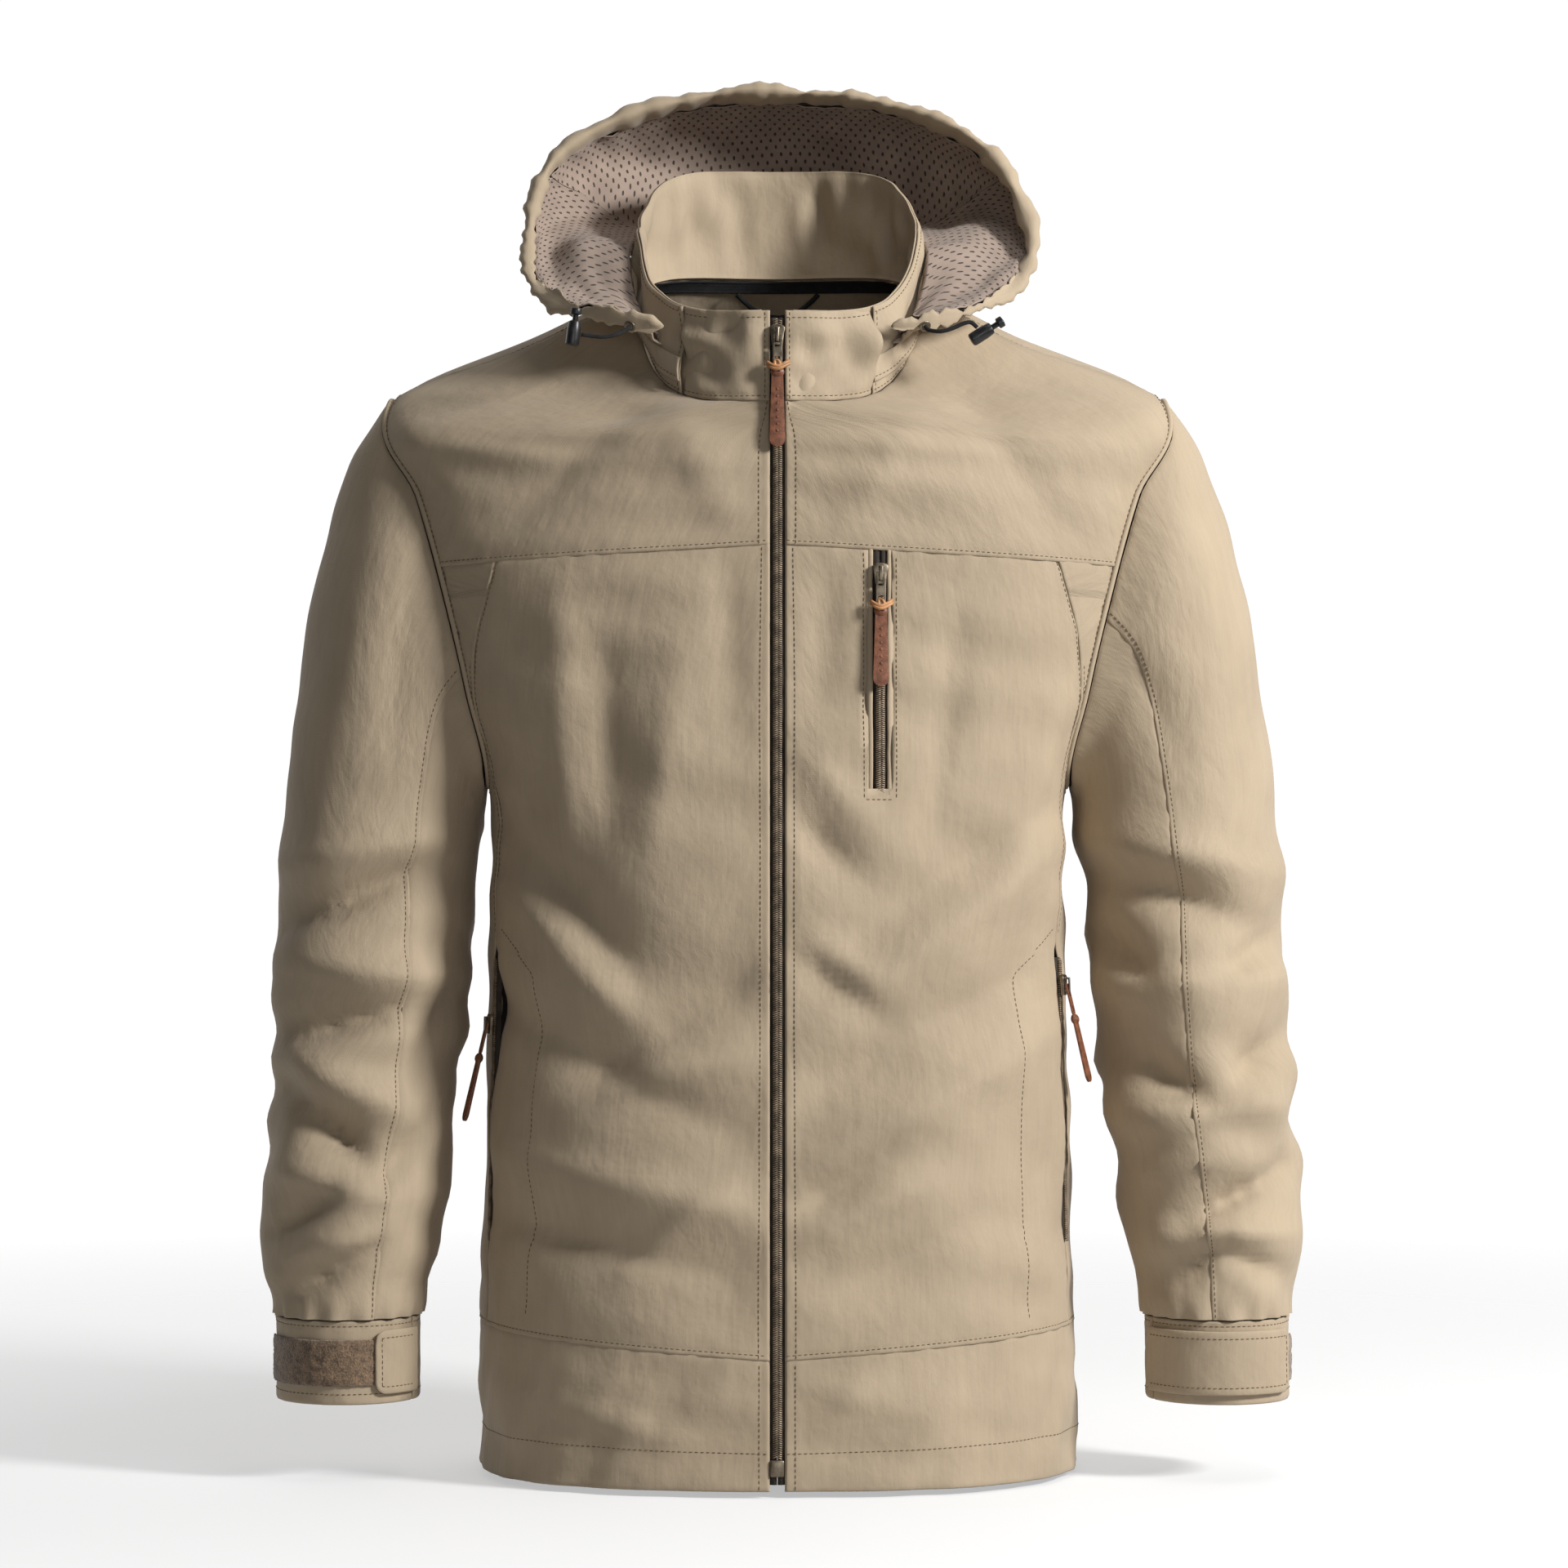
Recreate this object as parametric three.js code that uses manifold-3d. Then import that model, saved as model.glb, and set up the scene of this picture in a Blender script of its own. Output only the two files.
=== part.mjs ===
// A hooded zip-front jacket, standing as if worn: +X is the wearer's left, the front faces -Y.
// Heights are measured from the hem and the whole jacket is then hung from its neck, the origin.
// Every cloth panel is a thin closed sheet that ends a seam gap short of its neighbour.

import * as THREE from 'three';
import { mergeVertices } from 'three/addons/utils/BufferGeometryUtils.js';
import Module from 'manifold-3d';

const wasm = await Module();
wasm.setup();

// Cloth
const SHELL = 2.4;
const COLLAR_SHELL = 2;
const LINING = 1.2;
const SEAM_GAP = 0.5;
const LAYER_GAP = 0.8;
const CURVED_LAYER_GAP = 1.7;
const NECK_GAP = 2.4;
const TOUCH = 0.3;

// Body, half widths and depths measured from the line through both sides
const HEM_HALF = 186;
const WAIST_HALF = 180;
const UNDERARM_HALF = 180;
const SHOULDER_HALF = 241;
const NECK_HALF = 88;
const HEM_FRONT = 140;
const NECK_FRONT = 95.5;
const HEM_BACK = 120;
const CHEST_BACK = 130;
const SHOULDER_BACK = 112;
const NECK_BACK = 80;

// Body, heights
const HEM_BAND = 77;
const HEM_BAND_SIDE_RISE = 13;
const WAIST_Z = 300;
const UNDERARM_Z = 420;
const YOKE_Z = 566;
const YOKE_DROP = 12;
const SHOULDER_Z = 660;
const NECK_SIDE_Z = 728;
const NECK_FRONT_Z = 654;
const NECK_BACK_Z = 745;

// Seams of the body, as angles round it from the wearer's left side
const PRINCESS_ANGLE = -16;
const PRINCESS_TOP_ANGLE = -46;
const SIDE_SEAM_ANGLE = 14;
const ARMHOLE_FRONT_ANGLE = 26;
const ARMHOLE_BACK_ANGLE = 28;
const ARMHOLE_SIDES = 24;

// Collar
const COLLAR_FRONT = 52;
const COLLAR_SIDE = 38;
const COLLAR_BACK = 66;
const COLLAR_BULGE = 2.5;
const COLLAR_JOIN_ANGLE = -49;
const BAND_HEIGHT = 20;

// Sleeves: each ring's height, place outward of the shoulder point, half width, forward place, half depth and tilt
const SLEEVE_STAND_OFF = 2.2;
const SLEEVE_RINGS = [
  { z: 517, out: -17.5, half: 41, y: 4, deep: 62, tilt: 107 },
  { z: 484, out: -6.5, half: 50, y: 5, deep: 64, tilt: 85 },
  { z: 444, out: 0.5, half: 55.5, y: 6, deep: 65, tilt: 60 },
  { z: 400, out: 6.5, half: 58.5, y: 6, deep: 65, tilt: 38 },
  { z: 352, out: 11.5, half: 60, y: 4, deep: 64, tilt: 20 },
  { z: 300, out: 13.5, half: 59.5, y: -2, deep: 62, tilt: 8 },
  { z: 248, out: 16, half: 58.5, y: -9, deep: 60, tilt: 0 },
  { z: 190, out: 21.5, half: 58, y: -20, deep: 58, tilt: -2 },
  { z: 140, out: 25, half: 54.5, y: -30, deep: 55, tilt: -3 },
  { z: 96, out: 26, half: 45.5, y: -38, deep: 47.5, tilt: 0 },
];
const SLEEVE_BACK_SEAM = -35;
const CUFF_TOP = 95.4;
const CUFF_HEIGHT = 51;
const CUFF_HALF = 44;
const CUFF_DEEP = 46;
const CUFF_OUT = 26.5;
const CUFF_Y = -38.5;
const PATCH_HEIGHT = 28;
const TAB_HEIGHT = 39;
const TAB_ROOT = 250;
const SIDES = [
  { name: 'left', mirror: 1, lean: 4, frontSeam: 188, tabEnd: 118, pocketSlider: 298 },
  { name: 'right', mirror: -1, lean: -3, frontSeam: 205, tabEnd: 206, pocketSlider: 274 },
];

// Hood: the brim's route over the wearer's left half, from the collar to the top
const BRIM_ROUTE = [
  [68, -79, 698], [98, -72, 703], [130, -52, 713], [154, -18, 738], [157, 10, 775],
  [139, 31, 815], [101, 43, 845], [52, 48, 860], [0, 49, 864],
];
const BRIM_PROUD = 1;
const BRIM_THICK = 5;
const BRIM_SHARE = 0.12;
const HOOD_FRONT_PANEL = 0.3;

// Zips
const ZIP_EDGE = 4.5;
const TEETH_HALF = 3.2;
const TEETH_PROUD = 0.6;
const TAPE_HALF = 9;
const TAPE_DEPTH = 4.6;
const TAPE_THICK = 0.8;
const MAIN_ZIP_BOTTOM = 19;
const BOX_HEIGHT = 10;
const MAIN_SLIDER_Z = 693;
const CHEST_ZIP_X = 62;
const CHEST_ZIP_BOTTOM = 416;
const CHEST_ZIP_LENGTH = 140;
const CHEST_SLOT_HALF = 7.5;
const POCKET_ZIP_BOTTOM = 140;
const POCKET_ZIP_LENGTH = 175;
const POCKET_SLOT_HALF = 4;
const SLIDER_HALF = 4.8;
const SLIDER_LENGTH = 13;
const SLIDER_PLATE = 2.4;
const ARCH_HALF_WIDTH = 1.1;
const ARCH_LENGTH = 9;
const ARCH_ROOM = 1.9;
const ARCH_THICK = 1;
const PULLER_LENGTH = 19;
const PULLER_HALF = 3;
const PULLER_THICK = 1;
const STRAP_LENGTH = 42;
const STRAP_HALF_TOP = 3.4;
const STRAP_HALF_END = 4.8;
const STRAP_THICK = 1.6;
const KNOT_RADIUS = 4.4;

// Drawcord and its locks: the routes are in the jacket's own frame, heights from the hem
const CORD_RADIUS = 1.3;
const LOCK_RADIUS = 4.2;
const LOCK_LENGTH = 15;
const BORE_RADIUS = 2.1;
const BORE_DEPTH = 6;
const STEM_RADIUS = 1.7;
const STEM_REACH = 2;
const BUTTON_TRAVEL = 3.6;
const BUTTON_RADIUS = 3.4;
const BUTTON_LENGTH = 4.5;
const CORDS = [
  {
    name: 'left',
    route: [
      [90.1, -74.4, 700], [92, -78.5, 697.6], [99, -82.5, 696.4], [106, -84, 698],
      [113, -84.5, 701], [117.5, -84.5, 701.6], [121.3, -84.5, 698.5],
    ],
    lock: [123.8, -84.5, 694.5],
    tilt: -58,
  },
  {
    name: 'right',
    route: [
      [-90.1, -74.4, 700], [-92, -78.5, 697.6], [-98, -82, 694.5],
      [-105, -83.5, 693], [-112, -83.5, 693.4], [-119, -83.5, 694.4],
    ],
    lock: [-123.8, -83.5, 695],
    tilt: -7,
  },
];

// Colours
const KHAKI = { color: 0x9c8763, roughness: 0.82, metalness: 0 };
const MESH = { color: 0x6b5b4f, roughness: 0.9, metalness: 0 };
const BLACK_TAPE = { color: 0x2a2824, roughness: 0.85, metalness: 0 };
const LEATHER = { color: 0x7a4a30, roughness: 0.55, metalness: 0 };
const FUZZ = { color: 0x735b40, roughness: 0.95, metalness: 0 };
const ZIP_METAL = { color: 0x5d564c, roughness: 0.35, metalness: 0.9 };
const COIL = { color: 0x6b5a45, roughness: 0.5, metalness: 0 };
const BLACK_PLASTIC = { color: 0x1b1c1d, roughness: 0.4, metalness: 0 };

const radians = THREE.MathUtils.degToRad;
const lerp = THREE.MathUtils.lerp;
const signedPower = (value, power) => Math.sign(value) * Math.abs(value) ** power;

// ---------------------------------------------------------------- body surface

const BODY_SECTIONS = [
  { v: 0, front: 0, back: 0, half: HEM_HALF, rear: HEM_BACK, power: 2.5 },
  { v: 130, front: 130, back: 130, half: lerp(HEM_HALF, WAIST_HALF, 0.35), rear: HEM_BACK, power: 2.5 },
  { v: WAIST_Z, front: WAIST_Z, back: WAIST_Z, half: WAIST_HALF, rear: lerp(HEM_BACK, CHEST_BACK, 0.4), power: 2.4 },
  { v: UNDERARM_Z, front: UNDERARM_Z, back: UNDERARM_Z, half: UNDERARM_HALF, rear: CHEST_BACK, power: 2.4 },
  ...[0.25, 0.5, 0.75].map((share) => ({
    v: lerp(UNDERARM_Z, SHOULDER_Z, share),
    front: lerp(UNDERARM_Z, SHOULDER_Z, share) - 3 * share ** 3,
    back: lerp(UNDERARM_Z, SHOULDER_Z, share) + 4 * share ** 3,
    half: lerp(UNDERARM_HALF, SHOULDER_HALF, Math.sin(share * Math.PI / 2)),
    rear: lerp(CHEST_BACK, SHOULDER_BACK, share ** 2),
    power: 2.4,
  })),
  { v: SHOULDER_Z, front: NECK_FRONT_Z - 22, back: SHOULDER_Z + 22, half: SHOULDER_HALF, rear: SHOULDER_BACK, power: 2.3 },
  {
    v: lerp(SHOULDER_Z, NECK_SIDE_Z, 0.55), front: NECK_FRONT_Z - 8, back: NECK_BACK_Z - 24,
    half: lerp(SHOULDER_HALF, NECK_HALF, 0.6), rear: lerp(SHOULDER_BACK, NECK_BACK, 0.4), power: 2.1,
  },
  { v: NECK_SIDE_Z, front: NECK_FRONT_Z, back: NECK_BACK_Z, half: NECK_HALF, rear: NECK_BACK, power: 2 },
];

// Depth of the straight centre front line at a height
function frontDepth(height) {
  return lerp(HEM_FRONT, NECK_FRONT, height / NECK_FRONT_Z);
}

// Smooth value of one column of the sections at level v
function sectionValue(key, v) {
  const rows = BODY_SECTIONS;
  let i = 0;
  while (i < rows.length - 2 && v > rows[i + 1].v) i += 1;
  const slope = (k) => {
    const a = rows[Math.max(k - 1, 0)];
    const b = rows[Math.min(k + 1, rows.length - 1)];
    return (b[key] - a[key]) / (b.v - a.v);
  };
  const span = rows[i + 1].v - rows[i].v;
  const t = THREE.MathUtils.clamp((v - rows[i].v) / span, 0, 1);
  const rise = t * t * (3 - 2 * t);
  const bend = span * (t * (1 - t) ** 2 * slope(i) - t * t * (1 - t) * slope(i + 1));
  return lerp(rows[i][key], rows[i + 1][key], rise) + bend;
}

// How far a tilted ring has moved from its side height to its front or back height
function ringShare(sine) {
  const soft = 0.12;
  const eased = (Math.hypot(sine, soft) - soft) / (Math.hypot(1, soft) - soft);
  return 1 - (1 - eased) ** 2;
}

function ringPoint(angle, ring) {
  const c = Math.cos(angle);
  const s = Math.sin(angle);
  const depth = s < 0 ? ring.frontDepth : ring.rear;
  const x = ring.half * signedPower(c, 2 / ring.power);
  const y = depth * signedPower(s, 2 / ring.power);
  const z = lerp(ring.side, s < 0 ? ring.front : ring.back, ringShare(Math.abs(s)));
  return new THREE.Vector3(x, y, z);
}

function bodyRing(v) {
  const front = sectionValue('front', v);
  return {
    side: v,
    front,
    back: sectionValue('back', v),
    half: sectionValue('half', v),
    rear: sectionValue('rear', v),
    power: sectionValue('power', v),
    frontDepth: frontDepth(front),
  };
}

function bodyPoint(angle, v) {
  return ringPoint(angle, bodyRing(v));
}

// Angle on the front, wearer's left half, where a ring reaches x
function frontAngle(x, ring) {
  return -Math.acos((x / ring.half) ** (ring.power / 2));
}

// Angle that moves a body point by a small distance round the body
function angleFor(distance, angle, v) {
  const step = 0.01;
  return distance * step / bodyPoint(angle, v).distanceTo(bodyPoint(angle + step, v));
}

const hemSeam = (angle) => HEM_BAND + HEM_BAND_SIDE_RISE * Math.abs(Math.cos(angle)) ** 0.8;
const yokeSeam = (angle) => YOKE_Z - YOKE_DROP * Math.abs(Math.cos(angle)) ** 0.8;

function princessAngle(v) {
  const t = THREE.MathUtils.clamp((v - 410) / (YOKE_Z - 410), 0, 1);
  return radians(lerp(PRINCESS_ANGLE, PRINCESS_TOP_ANGLE, t * t * (2 - t)));
}

// ---------------------------------------------------------------- sheets and solids

function normalOf(surface, s, t) {
  const step = 0.002;
  const s0 = Math.max(0, s - step);
  const t0 = Math.max(0, t - step);
  const alongS = surface(Math.min(1, s + step), t).sub(surface(s0, t));
  const alongT = surface(s, Math.min(1, t + step)).sub(surface(s, t0));
  return alongS.cross(alongT).normalize();
}

// A box bent over a surface: s runs anticlockwise seen from above, t runs up, thickness goes inward
function sheet(surface, columns, rows, thickness, proud = 0) {
  const geometry = new THREE.BoxGeometry(1, 1, 1, columns, rows, 1);
  const position = geometry.attributes.position;
  for (let i = 0; i < position.count; i += 1) {
    const s = position.getX(i) + 0.5;
    const t = position.getY(i) + 0.5;
    const depth = 0.5 - position.getZ(i);
    const normal = normalOf(surface, s, t);
    const point = surface(s, t).addScaledVector(normal, proud - depth * thickness);
    position.setXYZ(i, point.x, point.y, point.z);
  }
  return geometry;
}

// The same surface on the wearer's right
function mirrored(surface) {
  return (s, t) => {
    const point = surface(1 - s, t);
    return point.setX(-point.x);
  };
}

const onSide = (side, surface) => (side.mirror > 0 ? surface : mirrored(surface));

function toManifold(geometry) {
  const bare = geometry.clone();
  bare.deleteAttribute('normal');
  bare.deleteAttribute('uv');
  const merged = mergeVertices(bare);
  return new wasm.Manifold(new wasm.Mesh({
    numProp: 3,
    vertProperties: new Float32Array(merged.attributes.position.array),
    triVerts: new Uint32Array(merged.index.array),
  }));
}

function fromManifold(solid) {
  const mesh = solid.getMesh();
  const geometry = new THREE.BufferGeometry();
  geometry.setAttribute('position', new THREE.BufferAttribute(mesh.vertProperties, 3));
  geometry.setIndex(new THREE.BufferAttribute(mesh.triVerts, 1));
  return geometry;
}

function cut(geometry, ...tools) {
  let solid = toManifold(geometry);
  for (const tool of tools) solid = solid.subtract(toManifold(tool));
  return fromManifold(solid);
}

function join(geometry, ...others) {
  let solid = toManifold(geometry);
  for (const other of others) solid = solid.add(toManifold(other));
  return fromManifold(solid);
}

function part(name, geometry, look) {
  const mesh = new THREE.Mesh(geometry, new THREE.MeshStandardMaterial(look));
  mesh.name = name;
  return mesh;
}

// A box that holds whatever lies between two corners
function block(x0, x1, y0, y1, z0, z1) {
  const box = new THREE.BoxGeometry(x1 - x0, y1 - y0, z1 - z0);
  return box.translate((x0 + x1) / 2, (y0 + y1) / 2, (z0 + z1) / 2);
}

// ---------------------------------------------------------------- armhole

// Points round the armhole: 90 degrees is the shoulder, 180 the front, 270 the underarm
function armholePoint(turn) {
  const reach = Math.cos(turn) < 0 ? ARMHOLE_FRONT_ANGLE : ARMHOLE_BACK_ANGLE;
  const middle = (UNDERARM_Z + SHOULDER_Z) / 2;
  const v = middle + (SHOULDER_Z - UNDERARM_Z) / 2 * Math.sin(turn);
  return bodyPoint(radians(reach) * Math.cos(turn), v);
}

const SHOULDER_POINT = armholePoint(radians(90));
const UNDERARM_POINT = armholePoint(radians(270));
const ARM_AXIS = new THREE.Vector3(
  SHOULDER_POINT.z - UNDERARM_POINT.z, 0, UNDERARM_POINT.x - SHOULDER_POINT.x,
).normalize();

// A prism through the armhole, wider than it by the seam gap
function armholeCutter(side) {
  const reach = 70;
  const centre = SHOULDER_POINT.clone().add(UNDERARM_POINT).multiplyScalar(0.5);
  const surface = (turn, t) => {
    const point = armholePoint(turn);
    const out = point.clone().sub(centre).setX(0).normalize();
    point.addScaledVector(out, SEAM_GAP).addScaledVector(ARM_AXIS, lerp(-reach, reach, t));
    return point;
  };
  const geometry = new THREE.CylinderGeometry(1, 1, 1, ARMHOLE_SIDES, 1);
  const position = geometry.attributes.position;
  for (let i = 0; i < position.count; i += 1) {
    const x = position.getX(i);
    const z = position.getZ(i);
    const t = position.getY(i) + 0.5;
    let point = surface(Math.atan2(z, x), t);
    if (Math.hypot(x, z) < 0.5) {
      point = centre.clone().addScaledVector(ARM_AXIS, lerp(-reach, reach, t));
    }
    position.setXYZ(i, point.x * side.mirror, point.y, point.z);
  }
  if (side.mirror < 0) return geometry;
  const flipped = geometry.index.array.slice().reverse();
  geometry.setIndex(new THREE.BufferAttribute(flipped, 1));
  return geometry;
}

// ---------------------------------------------------------------- body panels

// A panel between two seams that run up the body and two that run round it
function bodySurface(left, right, bottom, top, levels) {
  return (s, t) => {
    const level = lerp(levels[0], levels[1], t);
    const angle = lerp(left(level), right(level), s);
    return bodyPoint(angle, lerp(bottom(angle), top(angle), t));
  };
}

const LOWER_LEVELS = [HEM_BAND, YOKE_Z - YOKE_DROP / 2];
const YOKE_LEVELS = [YOKE_Z - YOKE_DROP / 2, NECK_SIDE_Z];
const HEM_LEVELS = [0, HEM_BAND];
const HALF_GAP = SEAM_GAP / 2;

const zipEdge = (v) => frontAngle(ZIP_EDGE, bodyRing(v));
const sideSeam = (v) => radians(SIDE_SEAM_ANGLE) - angleFor(HALF_GAP, radians(SIDE_SEAM_ANGLE), v);
const princessFront = (v) => princessAngle(v) - angleFor(HALF_GAP, princessAngle(v), v);
const princessSide = (v) => princessAngle(v) + angleFor(HALF_GAP, princessAngle(v), v);
const ridgeFront = (v) => -angleFor(HALF_GAP, 0, v);
const backStart = (v) => radians(SIDE_SEAM_ANGLE) + angleFor(HALF_GAP, radians(SIDE_SEAM_ANGLE), v);
const across = (start) => (v) => Math.PI - start(v);

const hemTop = (angle) => hemSeam(angle) - HALF_GAP;
const lowerBottom = (angle) => hemSeam(angle) + HALF_GAP;
const lowerTop = (angle) => yokeSeam(angle) - HALF_GAP;
const yokeBottom = (angle) => yokeSeam(angle) + HALF_GAP;
const neckLine = () => NECK_SIDE_Z;
const hemLine = () => 0;

function frontYoke(side) {
  const surface = bodySurface(zipEdge, ridgeFront, yokeBottom, neckLine, YOKE_LEVELS);
  const panel = sheet(onSide(side, surface), 7, 8, SHELL);
  return part(`front_yoke_${side.name}`, cut(panel, armholeCutter(side)), KHAKI);
}

function frontPanel(side) {
  const surface = bodySurface(zipEdge, princessFront, lowerBottom, lowerTop, LOWER_LEVELS);
  const panel = sheet(onSide(side, surface), 6, 12, SHELL);
  const slots = [pocketSlot(side)];
  if (side.mirror > 0) slots.push(chestSlot());
  return part(`front_panel_${side.name}`, cut(panel, ...slots), KHAKI);
}

function sidePanel(side) {
  const surface = bodySurface(princessSide, sideSeam, lowerBottom, lowerTop, LOWER_LEVELS);
  const panel = sheet(onSide(side, surface), 4, 12, SHELL);
  return part(`side_panel_${side.name}`, cut(panel, armholeCutter(side), pocketSlot(side)), KHAKI);
}

function backPanel() {
  const surface = bodySurface(backStart, across(backStart), lowerBottom, lowerTop, LOWER_LEVELS);
  const panel = sheet(surface, 12, 12, SHELL);
  return part('back_panel', cut(panel, ...SIDES.map(armholeCutter)), KHAKI);
}

function backYoke() {
  const start = (v) => angleFor(HALF_GAP, 0, v);
  const surface = bodySurface(start, across(start), yokeBottom, neckLine, YOKE_LEVELS);
  const panel = sheet(surface, 14, 8, SHELL);
  return part('back_yoke', cut(panel, ...SIDES.map(armholeCutter)), KHAKI);
}

function frontHemBand(side) {
  const surface = bodySurface(zipEdge, sideSeam, hemLine, hemTop, HEM_LEVELS);
  return part(`hem_band_${side.name}`, sheet(onSide(side, surface), 8, 2, SHELL), KHAKI);
}

function backHemBand() {
  const surface = bodySurface(backStart, across(backStart), hemLine, hemTop, HEM_LEVELS);
  return part('hem_band_back', sheet(surface, 12, 2, SHELL), KHAKI);
}

// ---------------------------------------------------------------- collar

const NECK_RING = bodyRing(NECK_SIDE_Z);

function collarPoint(angle, share) {
  const top = {
    side: NECK_SIDE_Z + COLLAR_SIDE,
    front: NECK_FRONT_Z + COLLAR_FRONT,
    back: NECK_BACK_Z + COLLAR_BACK,
  };
  const bulge = COLLAR_BULGE * Math.sin(share * Math.PI) * (1 - Math.max(0, -Math.sin(angle)) ** 6);
  return ringPoint(angle, {
    side: lerp(NECK_SIDE_Z, top.side, share) + NECK_GAP,
    front: lerp(NECK_FRONT_Z, top.front, share) + NECK_GAP,
    back: lerp(NECK_BACK_Z, top.back, share) + NECK_GAP,
    half: NECK_RING.half + bulge,
    rear: NECK_BACK + bulge,
    power: NECK_RING.power,
    frontDepth: frontDepth(lerp(NECK_FRONT_Z, top.front, share)),
  });
}

const collarSurface = (from, to, low = 0, high = 1) => (s, t) => (
  collarPoint(lerp(from, to, s), lerp(low, high, t))
);

const COLLAR_SEAM = radians(0.2);
const COLLAR_JOIN = radians(COLLAR_JOIN_ANGLE);

function collarFront(side) {
  const surface = collarSurface(frontAngle(ZIP_EDGE, NECK_RING), COLLAR_JOIN - COLLAR_SEAM);
  return part(`collar_front_${side.name}`, sheet(onSide(side, surface), 5, 4, COLLAR_SHELL), KHAKI);
}

function collarBack() {
  const surface = collarSurface(COLLAR_JOIN + COLLAR_SEAM, Math.PI - COLLAR_JOIN - COLLAR_SEAM);
  return part('collar_back', sheet(surface, 16, 4, COLLAR_SHELL), KHAKI);
}

function collarFacing() {
  const start = frontAngle(TAPE_HALF + LAYER_GAP, NECK_RING);
  const surface = collarSurface(start, Math.PI - start, 0.06, 0.99);
  return part('collar_facing', sheet(surface, 20, 3, LINING, -COLLAR_SHELL - CURVED_LAYER_GAP), KHAKI);
}

// Share of the collar's height that the hood's band covers, so that it is equally tall all round
function bandShare(angle) {
  const height = collarPoint(angle, 1).z - collarPoint(angle, 0).z;
  return BAND_HEIGHT / height;
}

function bandPoint(angle, t) {
  const low = 4.5 / BAND_HEIGHT;
  return collarPoint(angle, bandShare(angle) * lerp(low, 1, t));
}

function hoodBand() {
  const from = COLLAR_JOIN;
  const surface = (s, t) => bandPoint(lerp(from, Math.PI - from, s), t);
  return part('hood_band', sheet(surface, 16, 2, COLLAR_SHELL, COLLAR_SHELL + LAYER_GAP), KHAKI);
}

function neckTape() {
  const from = radians(35);
  const surface = (s, t) => bodyPoint(lerp(from, Math.PI - from, s), lerp(NECK_SIDE_Z - 11, NECK_SIDE_Z - 2, t));
  return part('neck_tape', sheet(surface, 8, 1, LINING, -SHELL - LAYER_GAP), BLACK_TAPE);
}

// A loop of tape that hangs from the neck tape
function hangerLoop() {
  const half = 26;
  const drop = 30;
  const start = new THREE.Vector3(-half, NECK_BACK - 2.9, NECK_BACK_Z - 10);
  const low = new THREE.Vector3(0, NECK_BACK - 2, start.z - drop);
  const route = new THREE.QuadraticBezierCurve3(start, low, start.clone().setX(half));
  return part('hanger_loop', tube(route, 1.6, 10, 8), BLACK_TAPE);
}

function tube(route, radius, steps, sides) {
  const outline = new THREE.Shape();
  for (let i = 0; i < sides; i += 1) {
    const turn = 2 * Math.PI * i / sides;
    const step = i === 0 ? 'moveTo' : 'lineTo';
    outline[step](radius * Math.cos(turn), radius * Math.sin(turn));
  }
  return new THREE.ExtrudeGeometry(outline, { steps, extrudePath: route, curveSegments: 1, bevelEnabled: false });
}

// ---------------------------------------------------------------- hood

const BRIM_CURVE = new THREE.CatmullRomCurve3(BRIM_ROUTE.map((point) => new THREE.Vector3(...point)));

// The hood from the wearer's right (s = 0) over the top to the left (s = 1), brim to neck (t = 0 to 1)
function hoodPoint(s, t) {
  const along = s < 0.5 ? 2 * s : 2 * (1 - s);
  const side = s < 0.5 ? -1 : 1;
  const brim = BRIM_CURVE.getPoint(along);
  const neckAngle = lerp(COLLAR_JOIN + radians(4), Math.PI / 2, along);
  const neck = bandPoint(neckAngle, 1);
  const flat = neck.clone().setZ(0).normalize();
  neck.addScaledVector(flat, 2.8).add(new THREE.Vector3(0, 0, 1.2));
  const size = brim.distanceTo(neck);
  const back = Math.sin(along * Math.PI / 2);
  const out = Math.cos(along * Math.PI / 2);
  const fromBrim = new THREE.Vector3(0.3 * out * back, 0.95 * back, 0.06);
  const fromNeck = new THREE.Vector3(0.75 * out, 0.85 * back, 0.12 + 0.2 * out);
  const first = brim.clone().addScaledVector(fromBrim, size * 0.9);
  const second = neck.clone().addScaledVector(fromNeck, size * 0.85);
  const point = new THREE.CubicBezierCurve3(brim, first, second, neck).getPoint(t);
  return point.setX(point.x * side);
}

const hoodSurface = (s0, s1, t0, t1) => (s, t) => hoodPoint(lerp(s0, s1, s), lerp(t0, t1, t));

// Three panels, each with its own mesh lining inside it
function hoodPanels() {
  const seam = 0.0012;
  const frontEnd = 0.035;
  const places = [
    { name: 'right', from: frontEnd, to: HOOD_FRONT_PANEL - seam },
    { name: 'center', from: HOOD_FRONT_PANEL + seam, to: 1 - HOOD_FRONT_PANEL - seam },
    { name: 'left', from: 1 - HOOD_FRONT_PANEL + seam, to: 1 - frontEnd },
  ];
  return places.flatMap(({ name, from, to }) => {
    const outer = sheet(hoodSurface(from, to, BRIM_SHARE + 0.04, 1), 8, 8, COLLAR_SHELL);
    const lined = hoodSurface(Math.max(from, 0.05), Math.min(to, 0.95), BRIM_SHARE + 0.07, 0.96);
    const inner = sheet(lined, 8, 6, LINING, -COLLAR_SHELL - CURVED_LAYER_GAP);
    return [part(`hood_${name}`, outer, KHAKI), part(`hood_lining_${name}`, inner, MESH)];
  });
}

function hoodBrim() {
  const surface = hoodSurface(0.002, 0.998, 0, BRIM_SHARE);
  return part('hood_brim', sheet(surface, 28, 1, BRIM_THICK, BRIM_PROUD), KHAKI);
}

// ---------------------------------------------------------------- sleeves

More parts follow.
